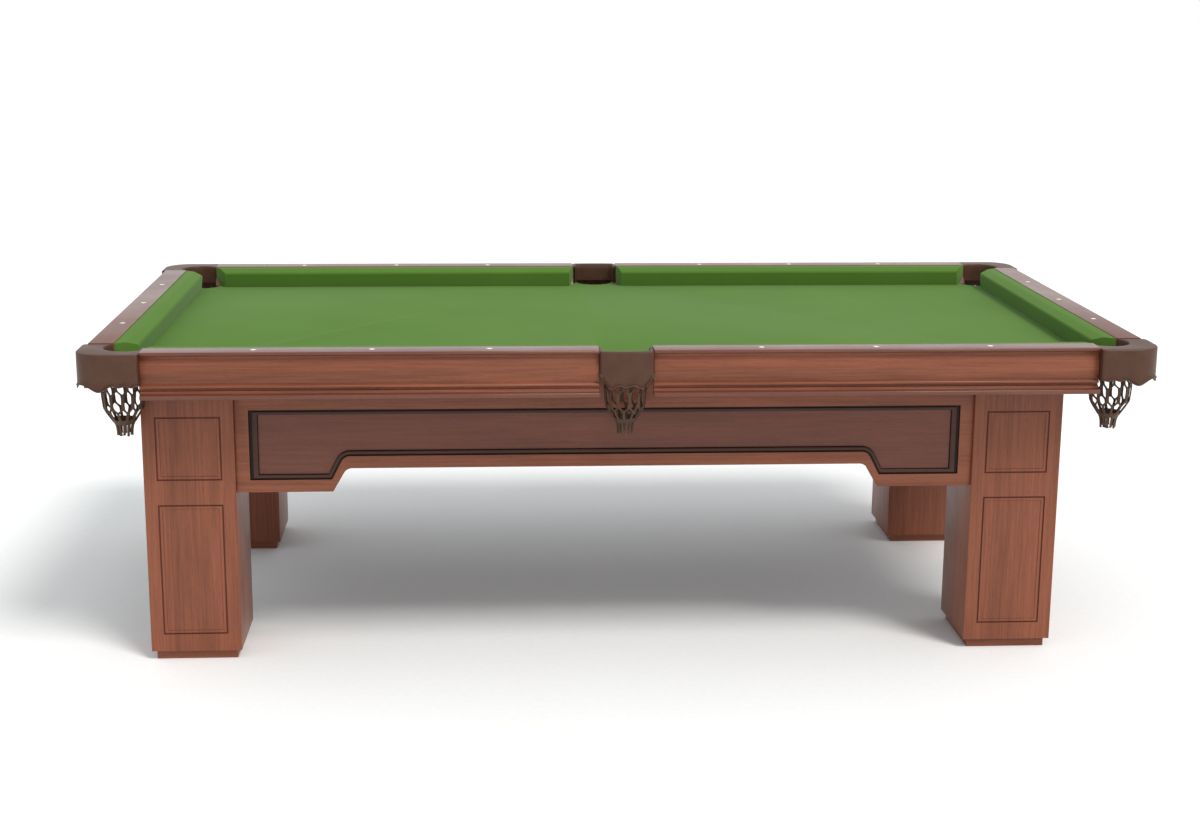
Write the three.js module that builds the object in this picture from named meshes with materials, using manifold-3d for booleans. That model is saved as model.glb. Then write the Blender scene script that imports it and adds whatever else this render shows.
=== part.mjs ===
// Pool table with a three-piece slate bed, six rails, six drop pockets and a panelled
// base on four legs with levelling feet. Millimetres, +Z up, +X along the table.
// The origin is on the floor under the centre of the playing field.
import * as THREE from "three";
import { mergeVertices } from "three/addons/utils/BufferGeometryUtils.js";
import Module from "manifold-3d";

const wasm = await Module();
wasm.setup();

// ---------------------------------------------------------------- driving dimensions

const GAP = 0.3; // kept between pieces that touch

const FIELD_LENGTH = 2337; // playing field, cushion nose to cushion nose
const FIELD_WIDTH = 1168.5;
const RAIL_TOP = 800;
const BED_TOP = 746.4; // upper face of the cloth
const CLOTH_THICK = 1.1;
const SLATE_THICK = 25.4;

const CUSHION_WIDTH = 51.8; // nose to the edge of the wood cap
const CAP_WIDTH = 62.4;
const RAIL_WIDTH = CUSHION_WIDTH + CAP_WIDTH;
const BAND_PROUD = 14.5; // lower band of the rail blind beyond the cap's edge
const BLIND_BOTTOM = 689.5;
const BLIND_BACK = 86; // inner face of the blind, outwards of the nose line
const CAP_THICK = 8;
const BLIND = { setback: 13.5, top: 785, bead: [712, 720.5], groove: 708, band: 700 };

const LONG_RAIL_END = 1141.5; // rail ends beside a corner pocket
const SHORT_RAIL_END = 572.3;
const MIDDLE_RAIL_END = 65.4; // rail ends beside a middle pocket

const CORNER_NOSE_X = 1109; // where the noses stop at the pockets
const CORNER_NOSE_Y = 536;
const MIDDLE_NOSE_X = 79;

const CORNER_HOLE = { x: 1183, y: 610, radius: 54 };
const CORNER_DROP = { x: 1185, y: 618, radius: 58 }; // cut-out in the slate
const MIDDLE_DROP = { x: 0, y: 664, radius: 55 };
const CORNER_OUTER = { x: 1295, y: 714, radius: 71 }; // outer faces of a corner leather
const MIDDLE_OUTER_Y = 709;
const LEATHER_TOP = 798;
const LEATHER_RIM = 20;
const LEATHER_WALL = 6;
const LINING = 4; // wall of the throat
const MIDDLE_LEATHER = { start: 640, setback: 5, corner: 9, throatRadius: 16, throatY: 672, wall: 9 };
const CORNER_EDGE = { level: 723, lobe: 14, lobeReach: 78, ripple: 4, ripplePitch: 29, middle: 0.48 };
const MIDDLE_EDGE = { level: 711, rise: 5, fall: 5, share: 0.6, lobe: 706, end: 738 };

const NET = { cornerX: 1193, cornerY: 630, middleY: 651, top: 716, bottom: 585 };
const NET_OUTSIDE = [[18, NET.bottom], [21, 612], [25, 621], [37, 636], [46, 657], [50, 682], [50, NET.top]];
const NET_INSIDE = [[46, NET.top], [46, 683], [42, 660], [33, 640], [17, 628], [0, 627]];

const BASE_SHIFT_X = -35; // the base stands this far off the middle of the top
const LEG = { inner: 908.4, outer: 1129.9, innerY: 339.9, outerY: 580.8, bottom: 23.4, wall: 22 };
const LEG_PANEL = { margin: 31.7, groove: 4, depth: 3, spans: [[67, 399], [460, 619]] };
const FOOT_INSET = 11.4;
const FOOT_WELL = { radius: 15, bottom: 8 };
const SCREW = { radius: 8, low: 13, high: 123, head: [8.5, 14.5], hexagon: [25, 35], wide: 13 };
const PLATE = { low: 60, high: 72 };

const APRON = { setback: 9.1, thick: 30, bottom: 426.5, archTop: 485, recess: 8 };
const ARCH_ROUND = 20; // rounding of the arch's upper corners
const SIDE_ARCH = { low: 673.9, high: 640 }; // half-widths of the arch, bottom and top
const END_ARCH = { low: 190, high: 156 };
const PANEL_TOP = 632;
const PANEL_EDGE = 31; // apron showing below the sunk panel
const PANEL_END = 34; // apron showing at its ends
const PANEL_ARCH = { low: 2, high: 6 }; // the panel's arch beyond the apron's own

const BEAM = { thick: 40, bottom: 640, seam: 416 };

// ---------------------------------------------------------------- derived levels

const CLOTH_BOTTOM = BED_TOP - CLOTH_THICK;
const SLATE_TOP = CLOTH_BOTTOM - GAP;
const SLATE_BOTTOM = SLATE_TOP - SLATE_THICK;
const FRAME_TOP = SLATE_BOTTOM - GAP;
const HALF_LENGTH = FIELD_LENGTH / 2;
const HALF_WIDTH = FIELD_WIDTH / 2;
const SLATE_HALF_X = HALF_LENGTH + BLIND_BACK - 6.5;
const SLATE_HALF_Y = HALF_WIDTH + BLIND_BACK - 6.5;

// ---------------------------------------------------------------- finishes

const finish = (color, roughness, metalness = 0) =>
  new THREE.MeshStandardMaterial({ color, roughness, metalness, flatShading: true });

const WOOD = finish(0x8a523f, 0.38);
const DARK_WOOD = finish(0x6e4a3d, 0.45);
const BASE_TIMBER = finish(0xa98563, 0.7);
const CLOTH = finish(0x678d48, 0.95);
const LEATHER = finish(0x5d4336, 0.55);
const NETTING = finish(0x4b3e36, 0.7);
const SLATE = finish(0x55595c, 0.6);
const STEEL = finish(0x8d9094, 0.4, 1);

// ---------------------------------------------------------------- solids

/** A closed geometry as a manifold solid. */
function solidOf(geometry) {
  const bare = geometry.clone();
  bare.deleteAttribute("normal");
  bare.deleteAttribute("uv");
  const merged = mergeVertices(bare, 1e-4);
  const mesh = new wasm.Mesh({
    numProp: 3,
    vertProperties: merged.getAttribute("position").array,
    triVerts: new Uint32Array(merged.index.array),
  });
  return new wasm.Manifold(mesh);
}

/** A manifold solid as a geometry. */
function geometryOf(solid) {
  const mesh = solid.getMesh();
  const geometry = new THREE.BufferGeometry();
  geometry.setAttribute("position", new THREE.BufferAttribute(mesh.vertProperties, 3));
  geometry.setIndex(new THREE.BufferAttribute(mesh.triVerts, 1));
  return geometry;
}

/** A box between two corners. */
function box(x0, x1, y0, y1, z0, z1) {
  const geometry = new THREE.BoxGeometry(x1 - x0, y1 - y0, z1 - z0);
  return geometry.translate((x0 + x1) / 2, (y0 + y1) / 2, (z0 + z1) / 2);
}

/** A flat outline in X and Y raised from z0 to z1. */
function slab(shape, z0, z1, curveSegments = 12) {
  const options = { depth: z1 - z0, bevelEnabled: false, curveSegments };
  return new THREE.ExtrudeGeometry(shape, options).translate(0, 0, z0);
}

/** A shape through a list of [x, y] points. */
function outline(points) {
  return new THREE.Shape(points.map(([x, y]) => new THREE.Vector2(x, y)));
}

/** A rectangle centred on the origin as a list of points, anticlockwise. */
function rectangle(width, height) {
  const [w, h] = [width / 2, height / 2];
  return [[-w, -h], [w, -h], [w, h], [-w, h]];
}

const table = new THREE.Group();

/** Puts one named piece into the table. */
function add(name, geometry, material, place = new THREE.Matrix4()) {
  const mesh = new THREE.Mesh(geometry, material);
  mesh.name = name;
  mesh.applyMatrix4(place);
  table.add(mesh);
}

// ---------------------------------------------------------------- sides and corners

const SIDES = {
  front: { outward: new THREE.Vector3(0, -1, 0), nose: HALF_WIDTH },
  back: { outward: new THREE.Vector3(0, 1, 0), nose: HALF_WIDTH },
  left: { outward: new THREE.Vector3(-1, 0, 0), nose: HALF_LENGTH },
  right: { outward: new THREE.Vector3(1, 0, 0), nose: HALF_LENGTH },
};

/** Turns a section frame (x outwards from the nose line, y up, z along) into the table's. */
function sideFrame(side) {
  const { outward, nose } = SIDES[side];
  const up = new THREE.Vector3(0, 0, 1);
  const along = new THREE.Vector3().crossVectors(outward, up);
  const origin = outward.clone().multiplyScalar(nose);
  return new THREE.Matrix4().makeBasis(outward, up, along).setPosition(origin);
}

// Each rail: its side, and where it starts and ends along that side. "low" and "high"
// name what stands at each end, because the cushion is cut back to suit the pocket.
const RAILS = [
  { name: "front_right", side: "front", low: "corner_long", high: "middle", sign: -1 },
  { name: "front_left", side: "front", low: "corner_long", high: "middle", sign: 1 },
  { name: "back_right", side: "back", low: "corner_long", high: "middle", sign: 1 },
  { name: "back_left", side: "back", low: "corner_long", high: "middle", sign: -1 },
  { name: "end_left", side: "left", low: "corner_short", high: "corner_short", sign: 1 },
  { name: "end_right", side: "right", low: "corner_short", high: "corner_short", sign: 1 },
];

const RAIL_ENDS = {
  corner_long: { wood: LONG_RAIL_END, nose: CORNER_NOSE_X },
  corner_short: { wood: SHORT_RAIL_END, nose: CORNER_NOSE_Y },
  middle: { wood: MIDDLE_RAIL_END, nose: MIDDLE_NOSE_X },
};

/** Start and end of a rail along its side, for its wood or for its nose. */
function railSpan(rail, part) {
  const far = RAIL_ENDS[rail.low][part];
  const near = RAIL_ENDS[rail.high][part];
  const span = rail.high === "middle" ? [near, far] : [-near, far];
  return rail.sign > 0 ? span : [-span[1], -span[0]];
}

// ---------------------------------------------------------------- rails

const CAP_BOTTOM = RAIL_TOP - CAP_THICK;
const RAIL_SEAT = BED_TOP + GAP;
const RUBBER_SHELF = 26; // the cushion's foot, outwards of the nose line
const RUBBER_HEIGHT = 23;
const CUSHION_TOP = RAIL_TOP - 1.4;
const CUSHION_CREST = 27; // where the level top ends, outwards of the nose line
const NOSE_TOP = 790.5;
const BED_LINE = 4.3; // the cushion face at the bed, outwards of the nose line
const EDGE = 1.5;

const RAIL_SECTION = [
  [RUBBER_SHELF + GAP, RAIL_SEAT],
  [BLIND_BACK - GAP, RAIL_SEAT],
  [BLIND_BACK - GAP, CAP_BOTTOM],
  [RAIL_WIDTH - EDGE, CAP_BOTTOM],
  [RAIL_WIDTH, CAP_BOTTOM + EDGE],
  [RAIL_WIDTH, RAIL_TOP - EDGE],
  [RAIL_WIDTH - EDGE, RAIL_TOP],
  [CUSHION_WIDTH + GAP, RAIL_TOP],
  [CUSHION_WIDTH + GAP, RAIL_SEAT + RUBBER_HEIGHT],
];

const CUSHION_SECTION = [
  [BED_LINE, RAIL_SEAT],
  [RUBBER_SHELF, RAIL_SEAT],
  [CUSHION_WIDTH, RAIL_SEAT + RUBBER_HEIGHT],
  [CUSHION_WIDTH, CUSHION_TOP],
  [CUSHION_CREST, CUSHION_TOP],
  [5, NOSE_TOP + 0.6],
  [1.5, NOSE_TOP - 1.5],
  [0, NOSE_TOP - 6],
  [0.6, NOSE_TOP - 11],
];

/** Outer face of the rail blind, from under the cap down to the band's lower edge. */
function blindSection() {
  const face = RAIL_WIDTH - BLIND.setback;
  const band = RAIL_WIDTH + BAND_PROUD;
  const neck = face + 6; // floor of the groove under the bead
  const bead = face + 12;
  const [beadBottom, beadTop] = BLIND.bead;
  const swell = (beadTop + BLIND.top) / 2 + 12;
  const shape = new THREE.Shape();
  shape.moveTo(BLIND_BACK, BLIND_BOTTOM);
  shape.lineTo(band - EDGE, BLIND_BOTTOM);
  shape.lineTo(band, BLIND_BOTTOM + EDGE);
  shape.lineTo(band, BLIND.band - EDGE);
  shape.lineTo(band - EDGE, BLIND.band);
  shape.quadraticCurveTo(neck + 3, BLIND.band + 1, neck, BLIND.groove);
  shape.lineTo(neck, beadBottom);
  shape.quadraticCurveTo(bead, (beadBottom + beadTop) / 2, face + 4, beadTop);
  shape.quadraticCurveTo(neck, swell, face - 3, BLIND.top);
  shape.lineTo(face - 6, CAP_BOTTOM - GAP);
  shape.lineTo(BLIND_BACK, CAP_BOTTOM - GAP);
  return shape;
}

/** A constant section run along a rail, with both ends square. */
function railRun(section, [start, end]) {
  const options = { depth: end - start, bevelEnabled: false, curveSegments: 5 };
  return new THREE.ExtrudeGeometry(section, options).translate(0, 0, start);
}

/** A cushion: its section run along the rail, with ends slanted from nose to wood. */
function cushionRun(rail) {
  const nose = railSpan(rail, "nose");
  const wood = railSpan(rail, "wood");
  const geometry = railRun(outline(CUSHION_SECTION), [0, 1]);
  const position = geometry.getAttribute("position");
  for (let i = 0; i < position.count; i++) {
    const back = position.getX(i) / CUSHION_WIDTH;
    const start = THREE.MathUtils.lerp(nose[0], wood[0], back);
    const end = THREE.MathUtils.lerp(nose[1], wood[1], back);
    position.setZ(i, THREE.MathUtils.lerp(start, end, position.getZ(i)));
  }
  return geometry;
}

function addRails() {
  for (const rail of RAILS) {
    const place = sideFrame(rail.side);
    const span = railSpan(rail, "wood");
    add("rail_" + rail.name, railRun(outline(RAIL_SECTION), span), WOOD, place);
    add("rail_blind_" + rail.name, railRun(blindSection(), span), WOOD, place);
    add("cushion_" + rail.name, cushionRun(rail), CLOTH, place);
  }
}

// ---------------------------------------------------------------- slates and cloth

/** A box on one quarter of the table, given by distances from the middle of the field. */
function quarterBox(sx, sy, [x0, x1], [y0, y1], z0, z1) {
  const [ax, bx] = [sx * x0, sx * x1].sort((a, b) => a - b);
  const [ay, by] = [sy * y0, sy * y1].sort((a, b) => a - b);
  return solidOf(box(ax, bx, ay, by, z0, z1));
}

/** The cutter for one pocket of the bed: a round bore that opens outwards. */
function pocketCutter(drop, sx, sy, z0, z1) {
  const [x, y, r] = [drop.x, drop.y, drop.radius];
  const past = 100; // beyond the edge of the slate
  const bore = new THREE.CylinderGeometry(r, r, z1 - z0, 40).rotateX(Math.PI / 2);
  bore.translate(sx * x, sy * y, (z0 + z1) / 2);
  const cutter = solidOf(bore).add(quarterBox(sx, sy, [x - r, x + r], [y, y + past], z0, z1));
  if (drop === MIDDLE_DROP) return cutter;
  return cutter.add(quarterBox(sx, sy, [x, x + past], [y - r * 0.6, y + past], z0, z1));
}

/** A flat slab from x0 to x1 with the six pocket mouths cut out of it. */
function bedSlab(x0, x1, z0, z1) {
  let solid = solidOf(box(x0, x1, -SLATE_HALF_Y, SLATE_HALF_Y, z0, z1));
  for (const sy of [-1, 1]) {
    for (const [drop, sx] of [[CORNER_DROP, -1], [MIDDLE_DROP, 1], [CORNER_DROP, 1]]) {
      solid = solid.subtract(pocketCutter(drop, sx, sy, z0 - 1, z1 + 1));
    }
  }
  return geometryOf(solid);
}

function addBed() {
  const seams = [-SLATE_HALF_X, -BEAM.seam, BEAM.seam, SLATE_HALF_X];
  ["left", "centre", "right"].forEach((where, i) => {
    const x0 = seams[i] + (i > 0 ? GAP : 0);
    const x1 = seams[i + 1] - (i < 2 ? GAP : 0);
    add("slate_" + where, bedSlab(x0, x1, SLATE_BOTTOM, SLATE_TOP), SLATE);
  });
  add("bed_cloth", bedSlab(-SLATE_HALF_X, SLATE_HALF_X, CLOTH_BOTTOM, BED_TOP), CLOTH);
}

// ---------------------------------------------------------------- pockets

/** Points on an arc, from one angle to another in degrees. */
function arc(cx, cy, radius, from, to, steps) {
  return Array.from({ length: steps + 1 }, (_, i) => {
    const angle = THREE.MathUtils.degToRad(from + ((to - from) * i) / steps);
    return [cx + radius * Math.cos(angle), cy + radius * Math.sin(angle)];
  });
}

/** An open path with extra points so that no step is longer than the given one. */
function subdivide(points, step) {
  const out = [points[0]];
  for (let i = 1; i < points.length; i++) {
    const [[ax, ay], [bx, by]] = [points[i - 1], points[i]];
    const count = Math.max(1, Math.ceil(Math.hypot(bx - ax, by - ay) / step));
    for (let k = 1; k <= count; k++) {
      out.push([ax + ((bx - ax) * k) / count, ay + ((by - ay) * k) / count]);
    }
  }
  return out;
}

/** A wall under an open path. lowerEdge gives the height of its foot from the run so far. */
function hangingWall(path, thickness, top, lowerEdge) {
  const stations = [];
  let run = 0;
  path.forEach(([x, y], i) => {
    const [px, py] = path[Math.max(i - 1, 0)];
    const [nx, ny] = path[Math.min(i + 1, path.length - 1)];
    const length = Math.hypot(nx - px, ny - py);
    const inward = [-(ny - py) / length, (nx - px) / length];
    run += Math.hypot(x - px, y - py);
    stations.push({ x, y, ix: x + inward[0] * thickness, iy: y + inward[1] * thickness, run });
  });
  const total = stations.at(-1).run;
  const vertices = stations.flatMap(({ x, y, ix, iy, run: at }) => {
    const low = lowerEdge(at, total);
    return [x, y, top, x, y, low, ix, iy, low, ix, iy, top];
  });
  const faces = [0, 2, 1, 0, 3, 2];
  for (let i = 0; i < stations.length - 1; i++) {
    for (let k = 0; k < 4; k++) {
      const [a, b] = [i * 4 + k, i * 4 + ((k + 1) % 4)];
      faces.push(a, b + 4, a + 4, a, b, b + 4);
    }
  }
  const last = (stations.length - 1) * 4;
  faces.push(last, last + 1, last + 2, last, last + 2, last + 3);
  const geometry = new THREE.BufferGeometry();
  geometry.setAttribute("position", new THREE.BufferAttribute(new Float32Array(vertices), 3));
  return geometry.setIndex(faces);
}

/** Lower edge of a corner leather: a large lobe each side of the diagonal, then ripples. */
function cornerScallops(run, total) {
  const { level, lobe, lobeReach, ripple, ripplePitch, middle } = CORNER_EDGE;
  const away = Math.abs(run - total * middle);
  if (away < lobeReach) {
    return level - lobe * Math.sin(Math.PI * (away / lobeReach) ** 1.3) ** 2;
  }
  return level - ripple * Math.sin((Math.PI * (away - lobeReach)) / ripplePitch) ** 2;
}

/** Lower edge of a middle leather: cut corners, two lobes and a smaller one between them. */
function middleScallops(run, total) {
  const { level, rise, fall, share, lobe, end } = MIDDLE_EDGE;
  const across = Math.abs((2 * run) / total - 1);
  if (across > share) return THREE.MathUtils.lerp(lobe, end, (across - share) / (1 - share));
  return level + rise * Math.sin((Math.PI * across) / share) ** 2 - fall * (across / share) ** 2;
}

/** A flat rim, with a skirt hanging from its outside and a lining from its hole. */
function leatherSolid({ rim, skirt, scallops, lining }) {
  const joint = LEATHER_TOP - LEATHER_RIM / 2;
  const top = slab(outline(rim), LEATHER_TOP - LEATHER_RIM, LEATHER_TOP);
  const outside = hangingWall(skirt, LEATHER_WALL, joint, scallops);
  const inside = hangingWall(lining, LINING, joint, () => BED_TOP + 1);
  return solidOf(top).add(solidOf(outside)).add(solidOf(inside));
}

/** A corner leather for the +X +Y corner. */
function cornerLeather() {
  const { x, y, radius } = CORNER_HOLE;
  const [startX, endY] = [LONG_RAIL_END + 2 * GAP, SHORT_RAIL_END + 2 * GAP];
  const sweep = (r) => [
    THREE.MathUtils.radToDeg(Math.asin((endY - y) / r)),
    180 - THREE.MathUtils.radToDeg(Math.acos((x - startX) / r)),
  ];
  const [centreX, centreY] = [CORNER_OUTER.x, CORNER_OUTER.y].map((v) => v - CORNER_OUTER.radius);
  const rounded = arc(centreX, centreY, CORNER_OUTER.radius, 0, 90, 10);
  const outer = [[CORNER_OUTER.x, endY], ...rounded, [startX, CORNER_OUTER.y]];
  const hole = arc(x, y, radius, ...sweep(radius), 20);
  return leatherSolid({
    rim: [...outer, ...hole.toReversed()],
    skirt: subdivide(outer, 9),
    scallops: cornerScallops,
    lining: arc(x, y, radius + LINING, ...sweep(radius + LINING), 16),
  });
}

/** A middle leather for the +Y side. */
function middleLeather() {
  const { start, setback, corner, throatRadius, throatY, wall } = MIDDLE_LEATHER;
  const half = MIDDLE_RAIL_END - 2 * GAP;
  const shoulder = MIDDLE_OUTER_Y - setback - corner + 1;
  const swell = MIDDLE_OUTER_Y - 1.2;
  const outer = [
    [half, start],
    [half, shoulder],
    ...arc(half - corner, shoulder, corner, 15, 75, 3),
    [half / 2, swell],
    [0, MIDDLE_OUTER_Y],
    [-half / 2, swell],
    ...arc(corner - half, shoulder, corner, 105, 165, 3),
    [-half, shoulder],
    [-half, start],
  ];
  const throat = half - wall - throatRadius;
  const inside = [
    [wall - half, start],
    ...arc(-throat, throatY, throatRadius, 180, 90, 4),
    ...arc(throat, throatY, throatRadius, 90, 0, 4),
    [half - wall, start],
  ];
  return leatherSolid({
    rim: [...outer, ...inside],
    skirt: subdivide(outer.slice(1, -1), 5),
    scallops: middleScallops,
    lining: inside,
  });
}

/** A net: a soft cup on the pocket's axis, closed below where its ends are gathered. */
function netCup() {
  const profile = [[0, NET.bottom], ...NET_OUTSIDE, ...NET_INSIDE];
  const points = profile.map(([r, z]) => new THREE.Vector2(r, z));
  return new THREE.LatheGeometry(points, 18).rotateX(Math.PI / 2);
}

function addPockets() {
  const corner = geometryOf(cornerLeather());
  const middle = geometryOf(middleLeather());
  for (const [row, sy] of [["front", -1], ["back", 1]]) {
    for (const [where, sx] of [["left", -1], ["middle", 0], ["right", 1]]) {
      const name = row + "_" + where;
      const mirror = new THREE.Matrix4().makeScale(sx || 1, sy, 1);
      add("pocket_leather_" + name, sx ? corner : middle, LEATHER, mirror);
      const netY = sy * (sx ? NET.cornerY : NET.middleY);
      add("pocket_net_" + name, netCup().translate(sx * NET.cornerX, netY, 0), NETTING);
    }
  }
}

// ---------------------------------------------------------------- base

/** A box with its outward faces grooved round raised panels, open above and below. */
function legSolid(sx, sy) {
  const [x0, x1] = [LEG.inner, LEG.outer].map((x) => BASE_SHIFT_X + sx * x).sort((a, b) => a - b);
  const [y0, y1] = [LEG.innerY, LEG.outerY].map((y) => sy * y).sort((a, b) => a - b);
  const w = LEG.wall;
  let solid = solidOf(box(x0, x1, y0, y1, LEG.bottom, FRAME_TOP));
  solid = solid.subtract(solidOf(box(x0 + w, x1 - w, y0 + w, y1 - w, 0, RAIL_TOP)));
  const faces = [
    { size: x1 - x0, at: [(x0 + x1) / 2, sy > 0 ? y1 : y0], turn: sy > 0 ? Math.PI : 0 },
    { size: y1 - y0, at: [sx > 0 ? x1 : x0, (y0 + y1) / 2], turn: (sx * Math.PI) / 2 },
  ];
  for (const { size, at, turn } of faces) {
    for (const [low, high] of LEG_PANEL.spans) {
      const ring = grooveRing(size - 2 * LEG_PANEL.margin, high - low);
      ring.translate(0, (low + high) / 2, 0).rotateX(Math.PI / 2).rotateZ(turn).translate(...at, 0);
      solid = solid.subtract(solidOf(ring));
    }
  }
  return solid;
}

/** A rectangular ring that straddles the plane z = 0, used to cut a groove into a face. */
function grooveRing(width, height) {
  const { groove, depth } = LEG_PANEL;
  const shape = outline(rectangle(width, height));
  shape.holes.push(outline(rectangle(width - 2 * groove, height - 2 * groove)));
  return slab(shape, -depth, depth);
}

/** An upright round or many-sided bar on the origin's axis, from z0 to z1. */
function bar(radius, z0, z1, sides) {
  const geometry = new THREE.CylinderGeometry(radius, radius, z1 - z0, sides);
  return solidOf(geometry.rotateX(Math.PI / 2).translate(0, 0, (z0 + z1) / 2));
}

/** Half the size of a leg in plan, less an inset all round. */
function legHalf(inset) {
  return [(LEG.outer - LEG.inner) / 2 - inset, (LEG.outerY - LEG.innerY) / 2 - inset];
}

/** A square foot with a well for the head of its screw. */
function footSolid() {
  const [w, d] = legHalf(FOOT_INSET);
  const well = bar(FOOT_WELL.radius, FOOT_WELL.bottom, LEG.bottom + 1, 32);
  return solidOf(box(-w, w, -d, d, 0, LEG.bottom - GAP)).subtract(well);
}

/** A levelling screw: round head, hexagon and shank on one axis. */
function screwSolid() {
  const shank = bar(SCREW.radius, SCREW.low, SCREW.high, 24);
  return shank.add(bar(SCREW.wide, ...SCREW.head, 32)).add(bar(SCREW.wide, ...SCREW.hexagon, 6));
}

/** The plate inside the leg that the screw turns in. */
function plateSolid() {
  const [w, d] = legHalf(LEG.wall + GAP);
  const bore = bar(SCREW.radius + GAP, PLATE.low - 1, PLATE.high + 1, 24);
  return solidOf(box(-w, w, -d, d, PLATE.low, PLATE.high)).subtract(bore);
}

function addLegs() {
  const foot = geometryOf(footSolid());
  const screw = geometryOf(screwSolid());
  const plate = geometryOf(plateSolid());
  for (const [row, sy] of [["front", -1], ["back", 1]]) {
    for (const [where, sx] of [["left", -1], ["right", 1]]) {
      const name = row + "_" + where;
      const x = BASE_SHIFT_X + (sx * (LEG.inner + LEG.outer)) / 2;
      const y = (sy * (LEG.innerY + LEG.outerY)) / 2;
      const place = new THREE.Matrix4().makeTranslation(x, y, 0);
      add("leg_" + name, geometryOf(legSolid(sx, sy)), WOOD);
      add("leg_foot_" + name, foot, WOOD, place);
      add("levelling_screw_" + name, screw, STEEL, place);
      add("levelling_plate_" + name, plate, STEEL, place);
    }
  }
}

/** An arched lower edge, with its upper corners cut: points from left to right. */
function archPoints(arch, bottom, top) {
  const right = [
    [arch.high - ARCH_ROUND * 0.6, top],
    [arch.high + ARCH_ROUND * 0.3, top - ARCH_ROUND * 0.35],
    [arch.low, bottom],
  ];
  const left = right.map(([x, z]) => [-x, z]).toReversed();
  return [...left, ...right];
}

/** An apron: a board with an arched lower edge and a sunk panel that follows the arch. */
function apronSolid(half, arch) {
  const board = outline([
    [-half, FRAME_TOP],
    [-half, APRON.bottom],
    ...archPoints(arch, APRON.bottom, APRON.archTop),
    [half, APRON.bottom],
    [half, FRAME_TOP],
  ]);
  const inside = half - PANEL_END;
  const innerArch = { low: arch.low + PANEL_ARCH.low, high: arch.high + PANEL_ARCH.high };
  const panelBottom = APRON.bottom + PANEL_EDGE;
  const panel = outline([
    [-inside, PANEL_TOP],
    [-inside, panelBottom],
    ...archPoints(innerArch, panelBottom, APRON.archTop + PANEL_EDGE),
    [inside, panelBottom],
    [inside, PANEL_TOP],
  ]);
  const sunk = slab(panel, APRON.thick - APRON.recess, APRON.thick + 1);
  return solidOf(slab(board, 0, APRON.thick)).subtract(solidOf(sunk));
}

function addAprons() {
  const up = new THREE.Vector3(0, 0, 1);
  const side = { reach: LEG.outerY, half: LEG.inner, arch: SIDE_ARCH };
  const end = { reach: LEG.outer, half: LEG.innerY, arch: END_ARCH };
  const aprons = [
    { name: "side_apron_front", outward: [0, -1, 0], ...side },
    { name: "side_apron_back", outward: [0, 1, 0], ...side },
    { name: "end_apron_left", outward: [-1, 0, 0], ...end },
    { name: "end_apron_right", outward: [1, 0, 0], ...end },
  ];
  for (const { name, outward, reach, half, arch } of aprons) {
    const out = new THREE.Vector3(...outward);
    const across = new THREE.Vector3().crossVectors(up, out);
    const origin = out.clone().multiplyScalar(reach - APRON.setback - APRON.thick);
    origin.x += BASE_SHIFT_X;
    const place = new THREE.Matrix4().makeBasis(across, up, out).setPosition(origin);
    add(name, geometryOf(apronSolid(half - GAP, arch)), DARK_WOOD, place);
  }
}

function addBeams() {
  const reach = LEG.outerY - APRON.setback - APRON.thick - GAP;
  for (const [where, x] of [["left", -BEAM.seam], ["centre", 0], ["right", BEAM.seam]]) {
    const beam = box(x - BEAM.thick / 2, x + BEAM.thick / 2, -reach, reach, BEAM.bottom, FRAME_TOP);
    add("cross_beam_" + where, beam, BASE_TIMBER);
  }
}

addLegs();
addAprons();
addBeams();
addBed();
addRails();
addPockets();

export default table;
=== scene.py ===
"""A pool table: slate bed, cushioned rails, six drop pockets and a panelled base on levelling feet.

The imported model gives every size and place, and this script dresses it with finished pieces.
Lengths are metres, +Z is up, +X runs along the table and the front faces -Y.
"""

import logging
import math
import random
from collections.abc import Callable, Iterator, Sequence
from contextlib import contextmanager
from dataclasses import dataclass
from enum import Enum
from functools import cache, partial
from itertools import accumulate, pairwise, product

import bmesh
import bpy
from mathutils import Matrix, Vector


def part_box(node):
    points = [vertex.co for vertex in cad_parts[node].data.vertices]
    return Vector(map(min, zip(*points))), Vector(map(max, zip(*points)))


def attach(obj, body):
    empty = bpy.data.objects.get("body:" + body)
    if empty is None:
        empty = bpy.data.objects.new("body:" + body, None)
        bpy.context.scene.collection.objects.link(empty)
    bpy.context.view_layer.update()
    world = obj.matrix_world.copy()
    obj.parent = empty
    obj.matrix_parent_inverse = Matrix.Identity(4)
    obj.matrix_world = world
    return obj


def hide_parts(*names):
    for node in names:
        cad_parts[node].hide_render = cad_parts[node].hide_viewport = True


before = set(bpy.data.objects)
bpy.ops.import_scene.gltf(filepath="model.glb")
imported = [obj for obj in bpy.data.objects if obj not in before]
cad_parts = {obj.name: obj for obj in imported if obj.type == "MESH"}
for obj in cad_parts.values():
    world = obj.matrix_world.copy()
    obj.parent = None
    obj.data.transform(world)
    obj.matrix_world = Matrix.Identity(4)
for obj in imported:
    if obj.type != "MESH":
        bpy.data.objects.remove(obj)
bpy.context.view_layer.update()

LOG = logging.getLogger("pool_table")
MM = 0.001
GAP = 0.3 * MM  # between pieces that touch
ROWS = (("front", -1), ("back", 1))
CREASE = math.radians(32)  # edges sharper than this are shaded as edges

Piece = bpy.types.Object
Socket = bpy.types.NodeSocket
Colour = tuple[float, float, float, float]
Plan = tuple[float, float]
Inputs = dict[str | int, object]
StrandPoint = tuple[float, float, float]  # an angle, a height and the width of a strand there


# ------------------------------------------------------------------ modelling by hand


class Part(Enum):
    """What a selection is made of."""

    CORNERS = "VERT"
    EDGES = "EDGE"
    FACES = "FACE"


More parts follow.
